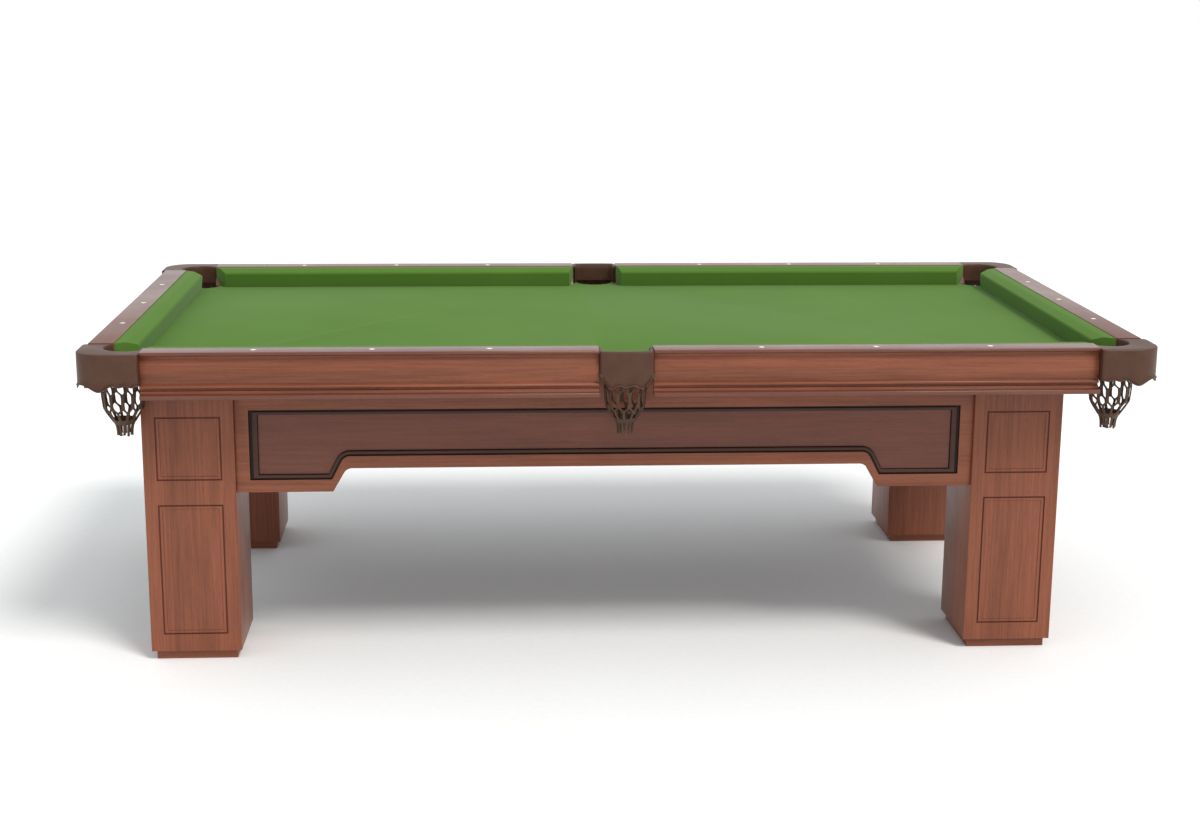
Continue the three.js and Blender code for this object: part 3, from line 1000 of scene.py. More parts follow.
@dataclass
class Rail:
    """A rail: its wood, the sights let into it, the moulded blind below and the cushion.

    Everything is made facing +X and then turned to its side, so x is outwards and y along.
    """

    name: str
    side: Side
    sights: tuple[float, ...]
    slants: tuple[float, float]
    cap: float = 8 * MM  # its thickness
    overhang: float = 10 * MM  # of the cap past the blind
    band: float = 12 * MM  # height of the blind's proud band
    rubber: float = 23 * MM  # height of the cushion's back above its foot
    sight_inset: float = 33.9 * MM
    sight_size: float = 8.2 * MM

    def build(self) -> None:
        """Makes the four kinds of piece."""
        self.wood()
        self.inlay()
        self.blind()
        self.cushion()

    def run(self, name: str, section: Sequence[Plan], low: Vector, high: Vector) -> Piece:
        """A section of (x, z) points run along the rail.

        Args:
            name: The piece's name.
            section: Its section.
            low: The lowest corner of the CAD node that it stands for.
            high: The highest corner of that node.

        Returns:
            The solid, still facing +X.
        """
        points = [Vector((x, low.y, z)) for x, z in section]
        return bar(name, points, Vector((0, high.y - low.y, 0)))

    def wood(self) -> None:
        """The rail's wood, with a softened cap that overhangs the blind."""
        node = f"rail_{self.name}"
        low, high = self.side.box(node)
        back = self.side.box(f"rail_blind_{self.name}")[0].x - GAP
        face = self.side.box(f"cushion_{self.name}")[1].x + GAP
        under = high.z - self.cap
        section = rounded(
            [
                (low.x, low.z, 0),
                (back, low.z, 0),
                (back, under, 0),
                (high.x, under, 2.2 * MM),
                (high.x, high.z, 3 * MM),
                (face, high.z, 0.8 * MM),
                (face, low.z + self.rubber, 0),
            ]
        )
        piece = self.run(node, section, low, high)
        soften(piece, 0.9 * MM)
        self.side.place(piece)
        # The rail's darker EDGE tone is painted shade.
        deliver(piece, [StainAndShade.EDGE.finish(Grain.along(self.side))], stands_for=[node])

    def inlay(self) -> None:
        """Diamond sights let into the cap."""
        low, high = self.side.box(f"rail_{self.name}")
        x = high.x - self.sight_inset
        made = []
        for y in self.sights:
            if low.y < y < high.y:
                made.append(drum("sight", Vector((x, y, high.z - 0.6 * MM)), self.sight_size, 1.8 * MM, 4))
        piece = joined(f"sights_{self.name}", made)
        soften(piece, 0.35 * MM)
        self.side.place(piece)
        deliver(piece, [SIGHT])

    def blind(self) -> None:
        """The blind: a swelling face over a bead, a groove and a proud band."""
        node = f"rail_blind_{self.name}"
        low, high = self.side.box(node)
        face = self.side.box(f"rail_{self.name}")[1].x - self.overhang
        bottom, top = low.z, high.z
        neck = face + 1 * MM
        bead = face + 8.5 * MM
        foot = (face + 1 * MM, bottom + 32.2 * MM)
        head = (face - 3.5 * MM, bottom + 95.5 * MM)
        section = rounded(
            [
                (low.x, bottom, 0),
                (high.x, bottom, 2.4 * MM),
                (high.x, bottom + 10.5 * MM, 2.4 * MM),
                (neck + 6.5 * MM, bottom + self.band, 1.5 * MM),
                (neck + 6 * MM, bottom + 17 * MM, 0.8 * MM),
                (neck, bottom + 18.5 * MM, 0.8 * MM),
                (neck, bottom + 22.8 * MM, 1.2 * MM),
                (bead, bottom + 23.2 * MM, 3.2 * MM),
                (bead, bottom + 30.6 * MM, 3.2 * MM),
                (*foot, 0.6 * MM),
                *swell(foot, head, 6.5 * MM),
                (*head, 0),
                (face - 2 * MM, bottom + 98.5 * MM, 1.5 * MM),
                (face + 2 * MM, bottom + 101 * MM, 2.5 * MM),
                (face + self.overhang - 2 * MM, top, 0),
                (low.x, top, 0),
            ],
            6,
        )
        piece = self.run(node, section, low, high)
        band_top = bottom + self.band
        # The band below band_top takes slot 1, EDGE, whose darker tone is painted shade.
        with editing(piece):
            pick(piece, Part.FACES, lambda made: middle(made).z < band_top and abs(made.normal.y) < 0.5)
            paint_selected(piece, 1)
        soften(piece, 1.2 * MM)
        self.side.place(piece)
        grain = Grain.along(self.side)
        deliver(piece, [StainAndShade.BODY.finish(grain), StainAndShade.EDGE.finish(grain)], stands_for=[node])

    def cushion(self) -> None:
        """The cushion: rubber under stretched cloth, level behind and sloping to its nose."""
        node = f"cushion_{self.name}"
        low, high = self.side.box(node)
        section = rounded(
            [
                (low.x + 4.3 * MM, low.z, 0.5 * MM),
                (low.x + 26 * MM, low.z, 0),
                (high.x, low.z + self.rubber, 0),
                (high.x, high.z, 1 * MM),
                (low.x + 27 * MM, high.z, 25 * MM),
                (low.x + 2.6 * MM, high.z - 8.6 * MM, 5 * MM),
                (low.x, high.z - 13.5 * MM, 4 * MM),
                (low.x + 0.8 * MM, high.z - 19.5 * MM, 6 * MM),
            ],
            5,
        )
        piece = self.run(node, section, low, high)
        with editing(piece, whole=True):
            for end, slant, way in ((low.y, self.slants[0], -1), (high.y, self.slants[1], 1)):
                line = Vector((low.x - high.x, -way * slant, 0))
                normal = Vector((-way * line.y, way * line.x, 0)) * -1
                bpy.ops.mesh.select_all(action="SELECT")
                bpy.ops.mesh.bisect(
                    plane_co=(high.x, end, 0),
                    plane_no=normal.normalized(),
                    use_fill=True,
                    clear_outer=True,
                )
        soften(piece, 2.4 * MM, 4)
        self.side.place(piece)
        deliver(piece, [CUSHION_CLOTH], stands_for=[node])


# ------------------------------------------------------------------ bed


@dataclass
class Bed:
    """The slates and the cloth that is stretched over them and down into the pockets."""

    corner: Plan = (1185 * MM, 618 * MM)  # middles of the round cut-outs in the slates
    corner_radius: float = 56.5 * MM
    side: Plan = (0.0, 664 * MM)
    side_radius: float = 53.5 * MM
    shoulder: float = 0.6  # how far short of its middle a corner's cut-out starts, in its own radii
    turn_down: float = 17 * MM
    thickness: float = 1.1 * MM

    def quarter(self, edge: Vector) -> list[Plan]:
        """The cloth's outline over one quarter of the bed, anticlockwise.

        Args:
            edge: The bed's far corner.

        Returns:
            The outline from the end of the table to the middle of its side.
        """
        x, y = self.corner
        r = self.corner_radius
        shoulder = y - self.shoulder * r
        mouth = arc(self.corner, r, -math.degrees(math.asin(self.shoulder)), -180, 28)
        half = arc(self.side, self.side_radius, -1, -88, 14)
        return [(edge.x, shoulder), *mouth, (x - r, edge.y), (self.side_radius, edge.y), *half]

    def build(self) -> None:
        """Stretches the cloth and dresses the slates under it."""
        low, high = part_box("bed_cloth")
        quarter = self.quarter(high)
        outline = []
        for sx, sy in ((1, 1), (-1, 1), (-1, -1), (1, -1)):
            points = [(sx * x, sy * y) for x, y in quarter]
            outline += points if sx * sy > 0 else points[::-1]
        piece = flat("bed_cloth", [Vector((x, y, high.z)) for x, y in outline])
        reach = 0.1 * MM

        def at_pocket(edge: bmesh.types.BMEdge) -> bool:
            """Whether an edge lies at a pocket, inside the bed's own sides."""
            place = middle(edge)
            return abs(place.x) < high.x - reach and abs(place.y) < high.y - reach

        with editing(piece):
            pick(piece, Part.EDGES, at_pocket)
            down = {"value": (0, 0, -self.turn_down)}
            bpy.ops.mesh.extrude_region_move(TRANSFORM_OT_translate=down)
        modify(piece, "SOLIDIFY", thickness=self.thickness, offset=-1)
        soften(piece, 0.5 * MM)
        deliver(piece, [BED_CLOTH], stands_for=["bed_cloth"])
        slates = [f"slate_{where}" for where in ("left", "centre", "right")]
        for slate in slates:
            dress(slate, SLATE)


# ------------------------------------------------------------------ pockets


@dataclass(frozen=True)
class Station:
    """One place along a leather: where its wall stands and where its throat's mouth is."""

    wall: Vector
    proud: Vector  # outwards from the wall
    mouth: Vector
    foot: float

    @property
    def across(self) -> Vector:
        """From the mouth to the wall."""
        return self.wall - self.mouth


Stations = Sequence[Station]


@dataclass(frozen=True)
class PocketLeather:
    """A pocket's leather, made for the +X +Y quarter and turned over for the others.

    One hide runs from the scalloped foot of the skirt, over the rim and down the throat.
    """

    top: float = 798 * MM
    throat_foot: float = 748 * MM
    edge_round: float = 4 * MM
    mouth_round: float = 4 * MM
    mouth_drop: float = 4 * MM
    thickness: float = 3.2 * MM
    bead: float = 6.5 * MM  # from the foot to the middle of the raised line above it
    bead_proud: float = 2.8 * MM
    flare: float = 1.8 * MM
    pitch: float = 2.4 * MM

    def outside(self) -> Path:
        """The line of the wall in plan, with the outside on its left."""
        raise NotImplementedError

    def mouth(self, run: float, share: float) -> Vector:
        """The point of the throat's mouth beside a place on the wall."""
        raise NotImplementedError

    def foot(self, place: Vector) -> float:
        """The height of the skirt's foot at a place on the wall."""
        raise NotImplementedError

    def stations(self) -> list[Station]:
        """Spaces places evenly along the leather.

        Returns:
            The places, from one end to the other.
        """
        path = self.outside()
        count = round(path.length / self.pitch)
        made = []
        for k in range(count + 1):
            run = path.length * k / count
            wall = path.at(run)
            made.append(Station(wall, path.left(run), self.mouth(run, k / count), self.foot(wall)))
        return made

    def skirt_row(self, stations: Stations, proud: float, above: float, share: float = 0) -> list[Vector]:
        """A row of points on the wall.

        Args:
            stations: The places along the leather.
            proud: How far the row stands out.
            above: Its height above the foot.
            share: Its further rise, as a share of what is left below the rim's rounding.

        Returns:
            The row.
        """
        row = []
        for station in stations:
            low = station.foot + above
            height = low + (self.top - self.edge_round - low) * share
            row.append(Vector((*(station.wall + station.proud * proud), height)))
        return row

    def rim_row(self, stations: Stations, edge: float, rim: float, mouth: float, drop: float) -> list[Vector]:
        """A row of points between the wall and the throat.

        Args:
            stations: The places along the leather.
            edge: How many of the edge's radii it stands in from the wall.
            rim: Its share of the flat between the two rounded edges.
            mouth: How many of the mouth's radii it stands out from the mouth, if it is past the flat.
            drop: How far it lies below the top.

        Returns:
            The row.
        """
        row = []
        for station in stations:
            limit = 0.42 * station.across.length
            way = station.across.normalized()
            start = station.wall - way * min(self.edge_round, limit) * edge
            end = station.mouth + way * min(self.mouth_round, limit) * mouth
            row.append(Vector((*start.lerp(end, rim), self.top - drop)))
        return row

    def rows(self) -> list[list[Vector]]:
        """Lays the hide's section along the stations.

        Returns:
            Rows of points from the skirt's foot to the throat's.
        """
        stations = self.stations()
        flare, bead = self.flare, self.bead
        swelling = ((flare, 0), (flare, 1 * MM), (0.5 * flare, 2.4 * MM), (0.2 * flare, bead - 2 * MM))
        rows = [self.skirt_row(stations, proud, above) for proud, above in swelling]
        for turn in (35, 90, 145):
            proud = math.sin(math.radians(turn)) * self.bead_proud
            above = bead - math.cos(math.radians(turn)) * 1.5 * MM
            rows.append(self.skirt_row(stations, proud, above))
        rows += [self.skirt_row(stations, 0, bead + 2 * MM, share) for share in (0, 0.25, 0.6, 1)]
        for turn in (30, 60, 90):
            sine, cosine = math.sin(math.radians(turn)), math.cos(math.radians(turn))
            rows.append(self.rim_row(stations, 1 - cosine, 0, 0, (1 - sine) * self.edge_round))
        rows += [self.rim_row(stations, 1, rim, 1, 0) for rim in (0.35, 0.7, 1)]
        for turn in (30, 60, 90):
            sine, cosine = math.sin(math.radians(turn)), math.cos(math.radians(turn))
            rows.append(self.rim_row(stations, 1, 1, 1 - sine, (1 - cosine) * self.mouth_drop))
        for height in (self.top - 22 * MM, self.throat_foot):
            rows.append([Vector((*station.mouth, height)) for station in stations])
        return rows

    def build(self, name: str) -> Piece:
        """The hide, closed and of an even thickness.

        Args:
            name: The piece's name.

        Returns:
            The hide, for the +X +Y quarter.
        """
        piece = stretched(name, self.rows())
        modify(piece, "SOLIDIFY", thickness=self.thickness, offset=1)
        face_outwards(piece)
        return piece


@dataclass(frozen=True)
class CornerLeather(PocketLeather):
    """The leather round a corner pocket."""

    middle: Plan = (1183 * MM, 610 * MM)
    radius: float = 54 * MM
    outer: Plan = (1295 * MM, 714 * MM)
    corner_round: float = 71 * MM
    end_round: float = 8 * MM
    rail_end: Plan = (1142.1 * MM, 572.9 * MM)
    slate: Plan = (1252 * MM, 668 * MM)
    level: float = 723 * MM
    lobe: float = 14 * MM
    lobe_reach: float = 78 * MM
    ripple: float = 3.5 * MM
    ripple_pitch: float = 29 * MM

    @cache
    def outside(self) -> Path:
        """Runs beside one rail, round the outside and back beside the other rail.

        Returns:
            The line of the wall.
        """
        (x, y), (x0, y0) = self.outer, self.rail_end
        reach = self.radius + 2 * MM
        start = self.middle[1] + math.sqrt(reach**2 - (x0 - self.middle[0]) ** 2)
        end = self.middle[0] + math.sqrt(reach**2 - (y0 - self.middle[1]) ** 2)
        corners = [
            (x0, start, 0),
            (x0, y, self.end_round),
            (x, y, self.corner_round),
            (x, y0, self.end_round),
            (end, y0, 0),
        ]
        return Path(rounded(corners, 12, closed=False))

    def mouth(self, run: float, share: float) -> Vector:
        """Straight in towards the middle of the hole."""
        centre = Vector(self.middle)
        return centre + (self.outside().at(run) - centre).normalized() * self.radius

    def foot(self, place: Vector) -> float:
        """Keeps clear of the slates, then ripples, with a large lobe each side of the corner.

        Args:
            place: A place on the wall.

        Returns:
            The foot's height there.
        """
        if place.x < self.slate[0] and place.y < self.slate[1]:
            return self.throat_foot
        centre = Vector(self.outer) - Vector((self.corner_round, self.corner_round))
        straight = max(centre.x - place.x, 0) + max(centre.y - place.y, 0)
        spoke = place - centre
        turned = math.pi / 4 if straight else abs(math.atan2(spoke.y, spoke.x) - math.pi / 4)
        away = straight + turned * self.corner_round
        if away < self.lobe_reach:
            return self.level - self.lobe * math.sin(math.pi * (away / self.lobe_reach) ** 1.3) ** 2
        wave = math.sin(math.pi * (away - self.lobe_reach) / self.ripple_pitch) ** 2
        return self.level - self.ripple * wave


@dataclass(frozen=True)
class MiddleLeather(PocketLeather):
    """The leather round a pocket in the middle of a side."""

    half: float = 64.8 * MM
    start: float = 640 * MM
    shoulder: float = 704 * MM
    front: float = 709 * MM
    front_round: float = 60 * MM
    end_round: float = 9 * MM
    throat_half: float = 55.8 * MM
    throat_depth: float = 688 * MM
    throat_round: float = 16 * MM
    slate_edge: float = 668 * MM
    mouth_round: float = 6 * MM
    mouth_drop: float = 14 * MM
    level: float = 711 * MM
    rise: float = 5 * MM
    lobe: float = 706 * MM
    lobe_share: float = 0.6
    cut: float = 738 * MM

    def outside(self) -> Path:
        """Runs out beside one rail, across a slightly swelling front and back beside the other.

        Returns:
            The line of the wall.
        """
        corners = [
            (-self.half, self.start, 0),
            (-self.half, self.shoulder, self.end_round),
            (self.half, self.shoulder, self.end_round),
            (self.half, self.start, 0),
        ]
        for share in (0.5, 0, -0.5):
            proud = (self.front - self.shoulder) * (1 - share * share)
            corners.insert(2, (share * self.half, self.shoulder + proud, self.front_round))
        return Path(rounded(corners, 8, closed=False))

    @cache
    def throat(self) -> Path:
        """The line of the mouth, open towards the bed.

        Returns:
            The line, with the middle of the table on its right.
        """
        corners = [
            (-self.throat_half, self.start, 0),
            (-self.throat_half, self.throat_depth, self.throat_round),
            (self.throat_half, self.throat_depth, self.throat_round),
            (self.throat_half, self.start, 0),
        ]
        return Path(rounded(corners, 10, closed=False))

    def mouth(self, run: float, share: float) -> Vector:
        """As far along the mouth as the place is along the wall."""
        throat = self.throat()
        return throat.at(throat.length * share)

    def foot(self, place: Vector) -> float:
        """Keeps clear of the slates, then has cut corners, two lobes and a smaller one between.

        Args:
            place: A place on the wall.

        Returns:
            The foot's height there.
        """
        if place.y < self.slate_edge:
            return self.throat_foot
        across = abs(place.x) / self.half
        if across > self.lobe_share:
            share = (across - self.lobe_share) / (1 - self.lobe_share)
            return self.lobe + (self.cut - self.lobe) * share
        inner = across / self.lobe_share
        return self.level + self.rise * math.sin(math.pi * inner) ** 2 - (self.level - self.lobe) * inner**2


@dataclass(frozen=True)
class Net:
    """A pocket's net: leather stems that fork and meet above and below, and a fringe.

    Its levels are heights above the floor, and each point of its profile is the cup's radius and height.
    """

    stems: int = 12
    first: float = 8.5  # the first stem's place, in degrees
    stem: float = 10 * MM
    arm: float = 6.2 * MM
    shift: float = 3 * MM  # how far the forks stray from their level
    wander: float = 0.12  # how far the stems stray, in shares of their pitch
    lean: float = 0.06  # how far the fringe strays, in radians
    thickness: float = 3.4 * MM
    voxel: float = 1.2 * MM
    seed: int = 7
    tie: float = 0.738
    fork: float = 0.694
    upper_meeting: float = 0.709
    lower_fork: float = 0.660
    lower_meeting: float = 0.648
    closed: float = 0.629
    neck: float = 0.622
    web: tuple[float, ...] = (0.629, 0.626, 0.623, 0.620, 0.617)
    fringe: tuple[Plan, ...] = (
        (0.628, 7 * MM),
        (0.620, 7 * MM),
        (0.612, 6.6 * MM),
        (0.604, 6.4 * MM),
        (0.597, 6.2 * MM),
    )
    foot: Plan = (0.588, 6.4 * MM)
    profile: tuple[Plan, ...] = (
        (49 * MM, 0.740),
        (50 * MM, 0.712),
        (50.5 * MM, 0.690),
        (48.5 * MM, 0.668),
        (46 * MM, 0.657),
        (39.5 * MM, 0.644),
        (33.5 * MM, 0.636),
        (28 * MM, 0.627),
        (20.5 * MM, 0.615),
        (18 * MM, 0.600),
        (17.5 * MM, 0.584),
    )

    def radius(self, height: float) -> float:
        """The cup's radius at a height.

        Args:
            height: A height above the floor.

        Returns:
            The radius there.
        """
        for (r0, z0), (r1, z1) in pairwise(self.profile):
            if z1 <= height <= z0:
                return r0 + (r1 - r0) * (z0 - height) / (z0 - z1)
        return self.profile[-1][0]

    @staticmethod
    def shares(steps: int = 8) -> list[float]:
        """Even steps along a strand, from 0 to 1."""
        return [k / steps for k in range(steps + 1)]

    def ribbon(self, line: Sequence[StrandPoint], proud: float = 0.0) -> Piece:
        """A flat strand laid on the cup.

        Args:
            line: Its angle, height and width at each step.
            proud: How far it stands out from the cup.

        Returns:
            The strand, without thickness.
        """
        rows = []
        for angle, height, width in line:
            radius = self.radius(height) + proud
            half = width / 2 / radius
            turns = [angle + half * k / 2 for k in (-2, -1, 0, 1, 2)]
            rows.append([Vector((radius * math.cos(a), radius * math.sin(a), height)) for a in turns])
        return stretched("strand", rows)

    def stem_line(self, angle: float, fork: float, lower_fork: float) -> list[StrandPoint]:
        """The straight part of a stem between its forks, a little wider at each of them.

        Args:
            angle: The stem's place.
            fork: The height where it forks above.
            lower_fork: The height where it forks below.

        Returns:
            The angle, height and width at each step.
        """
        line = []
        for share in self.shares():
            height = fork + 2 * MM + (lower_fork - fork - 4 * MM) * share
            line.append((angle, height, self.stem * (0.86 + 0.3 * (2 * share - 1) ** 4)))
        return line

    def arm_line(self, start: Plan, end: Plan, tail: Sequence[Plan]) -> list[StrandPoint]:
        """An arm that swings from a stem's fork to where it meets its neighbour, and then its tail.

        Args:
            start: The angle and height of the fork.
            end: The angle and height of the meeting.
            tail: The heights that it passes from there on, each with its width.

        Returns:
            The angle, height and width at each step.
        """
        line = []
        for share in self.shares():
            swing = 0.1 + 0.9 * share * share * (3 - 2 * share)
            angle = start[0] + (end[0] - start[0]) * swing
            line.append((angle, start[1] + (end[1] - start[1]) * share, self.arm))
        return line + [(end[0], height, width) for height, width in tail]

    def forked(self, angle: float, beside: Sequence[float], fork: float, lower_fork: float) -> list[Piece]:
        """A stem with its arms, which meet those of the stems beside it above and below.

        Args:
            angle: The stem's place.
            beside: The places of the stems on each side of it.
            fork: The height where it forks above.
            lower_fork: The height where it forks below.

        Returns:
            Its strands.
        """
        strands = [self.ribbon(self.stem_line(angle, fork, lower_fork))]
        top = ((self.upper_meeting + 14 * MM, self.arm), (self.tie, self.arm))
        neck = ((self.closed, 1.15 * self.arm), (self.neck, self.arm))
        for neighbour in beside:
            gap = (neighbour - angle + math.pi) % (2 * math.pi) - math.pi
            meeting = angle + gap / 2
            upper = self.arm_line((angle, fork - 3 * MM), (meeting, self.upper_meeting), top)
            strands.append(self.ribbon(upper))
            below = (meeting, self.lower_meeting - 2 * MM)
            lower = self.arm_line((angle, lower_fork + 3 * MM), below, neck)
            strands.append(self.ribbon(lower, 0.9 * MM))
        return strands

    def build(self, name: str) -> Piece:
        """Lays the strands, the closed bottom and the fringe, thickens them and lets them flow together.

        Args:
            name: The piece's name.

        Returns:
            The net, about the upright axis.
        """
        dice = random.Random(self.seed)
        pitch = 2 * math.pi / self.stems
        stray = [dice.uniform(-self.wander, self.wander) * pitch for _ in range(self.stems)]
        angles = [math.radians(self.first) + k * pitch + stray[k] for k in range(self.stems)]
        strands = []
        for k, angle in enumerate(angles):
            fork = self.fork + dice.uniform(-1, 1) * self.shift
            lower_fork = self.lower_fork + dice.uniform(-1, 1) * self.shift
            beside = (angles[k - 1], angles[(k + 1) % self.stems])
            strands += self.forked(angle, beside, fork, lower_fork)
            web = [(angle, z, 1.4 * pitch * self.radius(z)) for z in self.web]
            strands.append(self.ribbon(web, -0.6 * MM))
            foot, wide = self.foot
            foot += dice.uniform(-1.5, 2.5) * MM
            lean = dice.uniform(-self.lean, self.lean)
            steps = enumerate((*self.fringe, (foot, wide)))
            fringe = [(angle + lean * i / len(self.fringe), z, w) for i, (z, w) in steps]
            strands.append(self.ribbon(fringe))
        piece = joined(name, strands)
        modify(piece, "SOLIDIFY", thickness=self.thickness, offset=0)
        modify(piece, "REMESH", mode="VOXEL", voxel_size=self.voxel)
        modify(piece, "SMOOTH", factor=0.5, iterations=3)
        return piece


@dataclass
class Pockets:
    """The six pockets, from one corner leather, one middle leather and one net."""

    corner: PocketLeather = CornerLeather()
    side: PocketLeather = MiddleLeather()
    net: Net = Net()

    def build(self) -> None:
        """Models one of each and copies it to its places."""
        corner, side = self.corner.build("corner"), self.side.build("middle")
        pattern = self.net.build("net")
        places = (("left", -1), ("middle", 0), ("right", 1))
        for (row, sy), (place, sx) in product(ROWS, places):
            node = f"pocket_leather_{row}_{place}"
            hide = copied(corner if sx else side, node)
            hide.matrix_world = Matrix.Diagonal((sx or 1, sy, 1, 1))
            settle(hide)
            deliver(hide, [POCKET_LEATHER], stands_for=[node])
            node = f"pocket_net_{row}_{place}"
            low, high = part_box(node)
            centre = (low + high) / 2
            net = copied(pattern, node)
            net.matrix_world = Matrix.Translation((centre.x, centre.y, 0))
            settle(net)
            deliver(net, [NET_LEATHER], stands_for=[node])
        for piece in (corner, side, pattern):
            bpy.data.objects.remove(piece)


# ------------------------------------------------------------------ base


@dataclass(frozen=True)
class Step:
    """One step of a moulding worked into a face from its edge inwards."""

    width: float
    depth: float  # outwards where it is positive
    paint: int  # the step's material slot
    extra: float = 0.0  # how much wider the step is at the two ends


def mould(piece: Piece, steps: Sequence[Step], chosen: Callable[[bmesh.types.BMFace], bool]) -> None:
    """Works a moulding into faces, one inset at a time.

    Args:
        piece: The piece that is being edited.
        steps: The moulding, from its edge inwards. What is left inside it keeps the main finish.
        chosen: The test for the faces that it is worked into.
    """
    pick(piece, Part.FACES, chosen)
    for step in steps:
        paint_selected(piece, step.paint)
        bpy.ops.mesh.inset(thickness=step.width, depth=step.depth, use_even_offset=True)
        if step.extra:
            slide_ends(piece, step.extra)
    paint_selected(piece, 0)


def slide_ends(piece: Piece, extra: float) -> None:
    """Draws in the two ends of the selected face along y, which widens the step just made there.

    Args:
        piece: The piece that is being edited.
        extra: How far each end moves.
    """
    mesh = bmesh.from_edit_mesh(piece.data)
    corners = {corner for face in mesh.faces if face.select for corner in face.verts}
    low, high = min(corner.co.y for corner in corners), max(corner.co.y for corner in corners)
    for corner in corners:
        if min(corner.co.y - low, high - corner.co.y) < 0.5 * MM:
            corner.co.y -= math.copysign(extra, corner.co.y - (low + high) / 2)
    bmesh.update_edit_mesh(piece.data)


@dataclass
class Apron:
    """A board between two legs, arched below, with a sunk panel inside a mitred moulding."""

    name: str
    side: Side
    arch_low: float
    arch_high: float
    arch_rise: float = 58.5 * MM
    arch_round: float = 24 * MM
    panel_depth: float = 8 * MM
    panel_edge: float = 31 * MM
    panel_end: float = 34 * MM
    panel_top: float = 632 * MM
    panel_arch: Plan = (2 * MM, 6 * MM)
    moulding_stain_and_shade: tuple[Step, ...] = (
        # The steps painted 1 are painted shadow: the outer groove first and the step down to the field last.
        Step(0.5 * MM, -4.5 * MM, 1, 0.5 * MM),
        Step(3.6 * MM, 0, 1, 3.2 * MM),
        Step(0.7 * MM, 4.0 * MM, 2, 0.3 * MM),
        # The steps painted 2 are the moulding: dark stain with painted shade.
        Step(2.2 * MM, 0.9 * MM, 2, 1.4 * MM),
        Step(2.4 * MM, -0.4 * MM, 2, 1.6 * MM),
        Step(2.4 * MM, -1.8 * MM, 2, 1.6 * MM),
        Step(1.4 * MM, -5.2 * MM, 1, 0.2 * MM),
    )

    def outline(self, half: float, bottom: float, top: float, low: float, high: float) -> list[Plan]:
        """The (y, z) outline of a board or panel with an arch in its lower edge.

        Args:
            half: Half its length.
            bottom: The height of its foot.
            top: The height of its head.
            low: Half the arch's width at its foot.
            high: Half the arch's width at its crown.

        Returns:
            The outline's points.
        """
        crown = bottom + self.arch_rise
        right = [(high, crown, self.arch_round), (low, bottom, 0), (half, bottom, 0), (half, top, 0)]
        left = [(-y, z, radius) for y, z, radius in reversed(right)]
        return rounded([*left, *right], 6)

    def solid(self, name: str, line: Sequence[Plan], middle_y: float, back: float, front: float) -> Piece:
        """An outline made solid between two planes that face +X."""
        points = [Vector((back, middle_y + y, z)) for y, z in line]
        return bar(name, points, Vector((front - back, 0, 0)))

    def build(self) -> None:
        """Makes the board, takes the panel's place out of it and fits the moulded panel."""
        low, high = self.side.box(self.name)
        half, centre = (high.y - low.y) / 2, (high.y + low.y) / 2
        grain = Grain.along(self.side)
        board_line = self.outline(half, low.z, high.z, self.arch_low, self.arch_high)
        board = self.solid(self.name, board_line, centre, low.x, high.x)
        wide, rise = self.panel_arch
        panel_line = self.outline(
            half - self.panel_end,
            low.z + self.panel_edge,
            self.panel_top,
            self.arch_low + wide,
            self.arch_high + rise,
        )
        back = high.x - self.panel_depth
        cut_away(board, self.solid("cutter", panel_line, centre, back, high.x + self.panel_depth))
        soften(board, 1.1 * MM, 2)
        self.side.place(board)
        deliver(board, [StainAndShade.BODY.finish(grain)], stands_for=[self.name])

        panel = self.solid(f"{self.name}_panel", panel_line, centre, back + GAP, high.x - GAP)
        # The panel's tones paint in shade: darker wood for the field, painted shadow in its grooves and a
        # dark moulding with painted shade.
        finishes = [shaded_stain.finish(grain) for shaded_stain in (StainAndShade.PANEL, StainAndShade.GROOVE_SHADOW, StainAndShade.MOULDING_STAIN_AND_SHADE)]
        with editing(panel):
            mould(panel, self.moulding_stain_and_shade, lambda face: face.normal.x > 0.9)
        self.side.place(panel)
        deliver(panel, finishes)


@dataclass
class CrossBeams:
    """The beams under the slates, which stay as the CAD has them."""

    places: tuple[str, ...] = ("left", "centre", "right")

    def build(self) -> None:
        """Dresses them."""
        for place in self.places:
            dress(f"cross_beam_{place}", PINE)


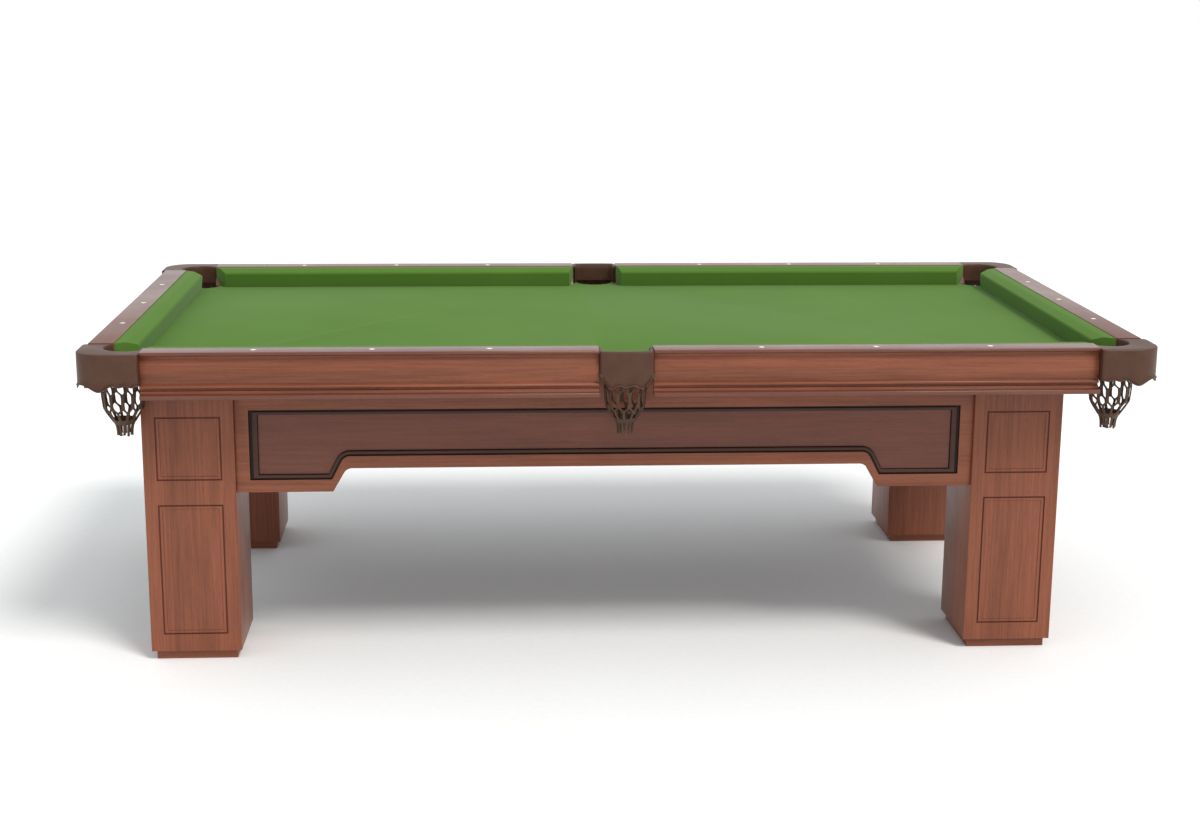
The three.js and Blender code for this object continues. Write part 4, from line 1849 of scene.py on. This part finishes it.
@dataclass
class Leg:
    """A square leg with two framed panels on each of its outer faces, on a levelling foot."""

    name: str
    sx: int
    sy: int
    corner_round: float = 2.5 * MM
    wall: float = 22 * MM
    margin: float = 31.7 * MM
    spans: tuple[Plan, ...] = ((67 * MM, 399 * MM), (460 * MM, 619 * MM))
    framing: tuple[Step, ...] = (
        # The steps painted 1 are the grooves, in painted shade.
        Step(0.5 * MM, -2.6 * MM, 1),
        Step(3 * MM, 0, 1),
        Step(0.5 * MM, 2.6 * MM, 1),
        Step(6 * MM, 0, 0),
        Step(0.7 * MM, -1.1 * MM, 1),
    )
    well: float = 15 * MM  # radius of the well for the screw's head
    well_floor: float = 8 * MM

    def build(self) -> None:
        """Makes the leg and its foot, and dresses the levelling gear inside them."""
        self.post()
        self.foot()
        for gear in ("levelling_screw", "levelling_plate"):
            dress(f"{gear}_{self.name}", STEEL)

    def post(self) -> None:
        """The leg itself."""
        node = f"leg_{self.name}"
        low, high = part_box(node)
        piece = block(node, low, high)
        with editing(piece):
            pick(piece, Part.EDGES, lambda edge: abs(edge.verts[0].co.z - edge.verts[1].co.z) > 1 * MM)
            bpy.ops.mesh.bevel(offset=self.corner_round, segments=4)
            self.frame_face(piece, Vector((self.sx, 0, 0)), low, high)
            self.frame_face(piece, Vector((0, self.sy, 0)), low, high)
        wall = Vector((self.wall, self.wall, -self.wall))
        cut_away(piece, block("cutter", low + wall, high - wall))
        # Slot 1 paints shade into the grooves.
        finishes = [StainAndShade.BODY.finish(Grain.UPRIGHT), StainAndShade.LINE.finish(Grain.UPRIGHT)]
        deliver(piece, finishes, stands_for=[node])

    def frame_face(self, piece: Piece, normal: Vector, low: Vector, high: Vector) -> None:
        """Marks out two panels on one face and frames them.

        Args:
            piece: The leg, in edit mode.
            normal: The way that the face looks.
            low: The leg's lowest corner.
            high: The leg's highest corner.
        """
        across = 0 if normal.y else 1
        sides = (low[across] + self.margin, high[across] - self.margin)
        side_normal = Vector((1, 0, 0)) if across == 0 else Vector((0, 1, 0))

        def on_face(face: bmesh.types.BMFace) -> bool:
            """Whether a face looks the right way."""
            return face.normal.dot(normal) > 0.999

        def in_panel(face: bmesh.types.BMFace, span: Plan) -> bool:
            """Whether a face lies inside the panel between two heights."""
            place = middle(face)
            return on_face(face) and span[0] < place.z < span[1] and sides[0] < place[across] < sides[1]

        cuts = [(side_normal * side, side_normal) for side in sides]
        cuts += [(Vector((0, 0, z)), Vector((0, 0, 1))) for span in self.spans for z in span]
        for place, plane in cuts:
            pick(piece, Part.FACES, on_face)
            bpy.ops.mesh.bisect(plane_co=place, plane_no=plane)
        for span in self.spans:
            mould(piece, self.framing, partial(in_panel, span=span))

    def foot(self) -> None:
        """The square foot, with a well for the head of its screw."""
        node = f"leg_foot_{self.name}"
        low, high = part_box(node)
        piece = block(node, low, high)
        soften(piece, 2 * MM, 3)
        head = Vector(((low.x + high.x) / 2, (low.y + high.y) / 2, high.z))
        cut_away(piece, drum("cutter", head, self.well, 2 * (high.z - self.well_floor)))
        deliver(piece, [StainAndShade.BODY.finish(Grain.LENGTHWAYS)], body=f"foot_{self.name}", stands_for=[node])


# ------------------------------------------------------------------ room


@dataclass(frozen=True)
class Lamp:
    """A broad soft light from far away."""

    name: str
    comes_from: tuple[float, float, float]
    spread: float
    strength: float
    tint: tuple[float, float, float] = (1.0, 0.97, 0.93)

    def hang(self) -> None:
        """Adds the light."""
        only()
        bpy.ops.object.light_add(type="SUN", location=self.comes_from)
        lamp = bpy.context.object
        lamp.name = self.name
        lamp.data.angle = math.radians(self.spread)
        lamp.data.energy = self.strength
        lamp.data.color = self.tint
        lamp.rotation_euler = Vector(self.comes_from).to_track_quat("Z", "Y").to_euler()


@dataclass
class Studio:
    """A pale floor, soft lamps and the camera."""

    eye: tuple[float, float, float] = (-0.3390, -5.0709, 1.6632)
    yaw: float = 0.0629
    pitch: float = -0.2241
    roll: float = 0.0068
    lens: float = 56.695
    floor_half: float = 60.0
    sky: float = 0.82
    sky_tint: Colour = (0.94, 0.985, 1.0, 1.0)
    backdrop: float = 1.0
    lamps: tuple[Lamp, ...] = (Lamp("key_lamp", (1.65, -1.9, 3.2), 20, 2.0),)

    def build(self) -> None:
        """Sets the room up round the table."""
        only()
        bpy.ops.mesh.primitive_plane_add(size=2 * self.floor_half)
        floor = named("floor")
        floor.data.materials.append(Plain("floor", "", colour("f8f8f8"), colour("f6f6f6"), 0.9).material())
        for lamp in self.lamps:
            lamp.hang()
        world = bpy.data.worlds.new("studio")
        bpy.context.scene.world = world
        world.use_nodes = True
        graph = Graph(world.node_tree)
        lights = graph.add("LightPath").outputs["Is Diffuse Ray"]
        strength = graph.sum(self.backdrop, graph.sum(lights, self.sky - self.backdrop, "MULTIPLY"))
        tint = graph.blend(lights, (1, 1, 1, 1), self.sky_tint)
        glow = graph.add("Background", {"Color": tint, "Strength": strength})
        graph.add("OutputWorld", {"Surface": glow.outputs[0]})
        bpy.context.scene.view_settings.view_transform = "Standard"
        self.point_camera()

    def point_camera(self) -> None:
        """Stands the camera at its place."""
        only()
        bpy.ops.object.camera_add(location=self.eye)
        camera = bpy.context.object
        level = Matrix.Rotation(math.pi / 2, 4, "X")
        turn = Matrix.Rotation(-self.yaw, 4, "Z")
        tilt = Matrix.Rotation(self.pitch, 4, "X")
        lean = Matrix.Rotation(self.roll, 4, "Z")
        camera.matrix_world = Matrix.Translation(self.eye) @ turn @ tilt @ level @ lean
        camera.data.sensor_width = 36
        camera.data.lens = self.lens
        camera.data.clip_end = 4 * self.floor_half
        bpy.context.scene.camera = camera


# ------------------------------------------------------------------ the table


LONG_SIGHTS = tuple(sign * place * MM for sign in (-1, 1) for place in (325, 602, 880))
END_SIGHTS = tuple(place * MM for place in (-304, 0, 304))
CORNER_SLANT = 32.4 * MM  # how far the long cushions' noses stop short at a corner
END_SLANT = 36.3 * MM
MIDDLE_SLANT = 13.6 * MM


def rails() -> list[Rail]:
    """Lists the six rails, with the slant of each cushion's two ends in the order of its own y.

    Returns:
        The rails.
    """
    at_corner_first = (CORNER_SLANT, MIDDLE_SLANT)
    at_middle_first = (MIDDLE_SLANT, CORNER_SLANT)
    return [
        Rail("front_left", Side.FRONT, LONG_SIGHTS, at_corner_first),
        Rail("front_right", Side.FRONT, LONG_SIGHTS, at_middle_first),
        Rail("back_right", Side.BACK, LONG_SIGHTS, at_corner_first),
        Rail("back_left", Side.BACK, LONG_SIGHTS, at_middle_first),
        Rail("end_left", Side.LEFT, END_SIGHTS, (END_SLANT, END_SLANT)),
        Rail("end_right", Side.RIGHT, END_SIGHTS, (END_SLANT, END_SLANT)),
    ]


def aprons() -> list[Apron]:
    """Lists the four aprons of the base, with half their arch's width at its foot and crown.

    Returns:
        The aprons.
    """
    side_arch = (673.9 * MM, 640 * MM)
    end_arch = (190 * MM, 156 * MM)
    return [
        Apron("side_apron_front", Side.FRONT, *side_arch),
        Apron("side_apron_back", Side.BACK, *side_arch),
        Apron("end_apron_left", Side.LEFT, *end_arch),
        Apron("end_apron_right", Side.RIGHT, *end_arch),
    ]


def legs() -> list[Leg]:
    """The four legs."""
    ends = (("left", -1), ("right", 1))
    return [Leg(f"{row}_{end}", sx, sy) for (row, sy), (end, sx) in product(ROWS, ends)]


def main() -> None:
    """Builds the table from the floor up, then the room round it."""
    logging.basicConfig(level=logging.INFO, format="%(message)s")
    for part in (*legs(), *aprons(), Bed(), *rails(), Pockets(), CrossBeams(), Studio()):
        part.build()


if __name__ == "__main__":
    main()
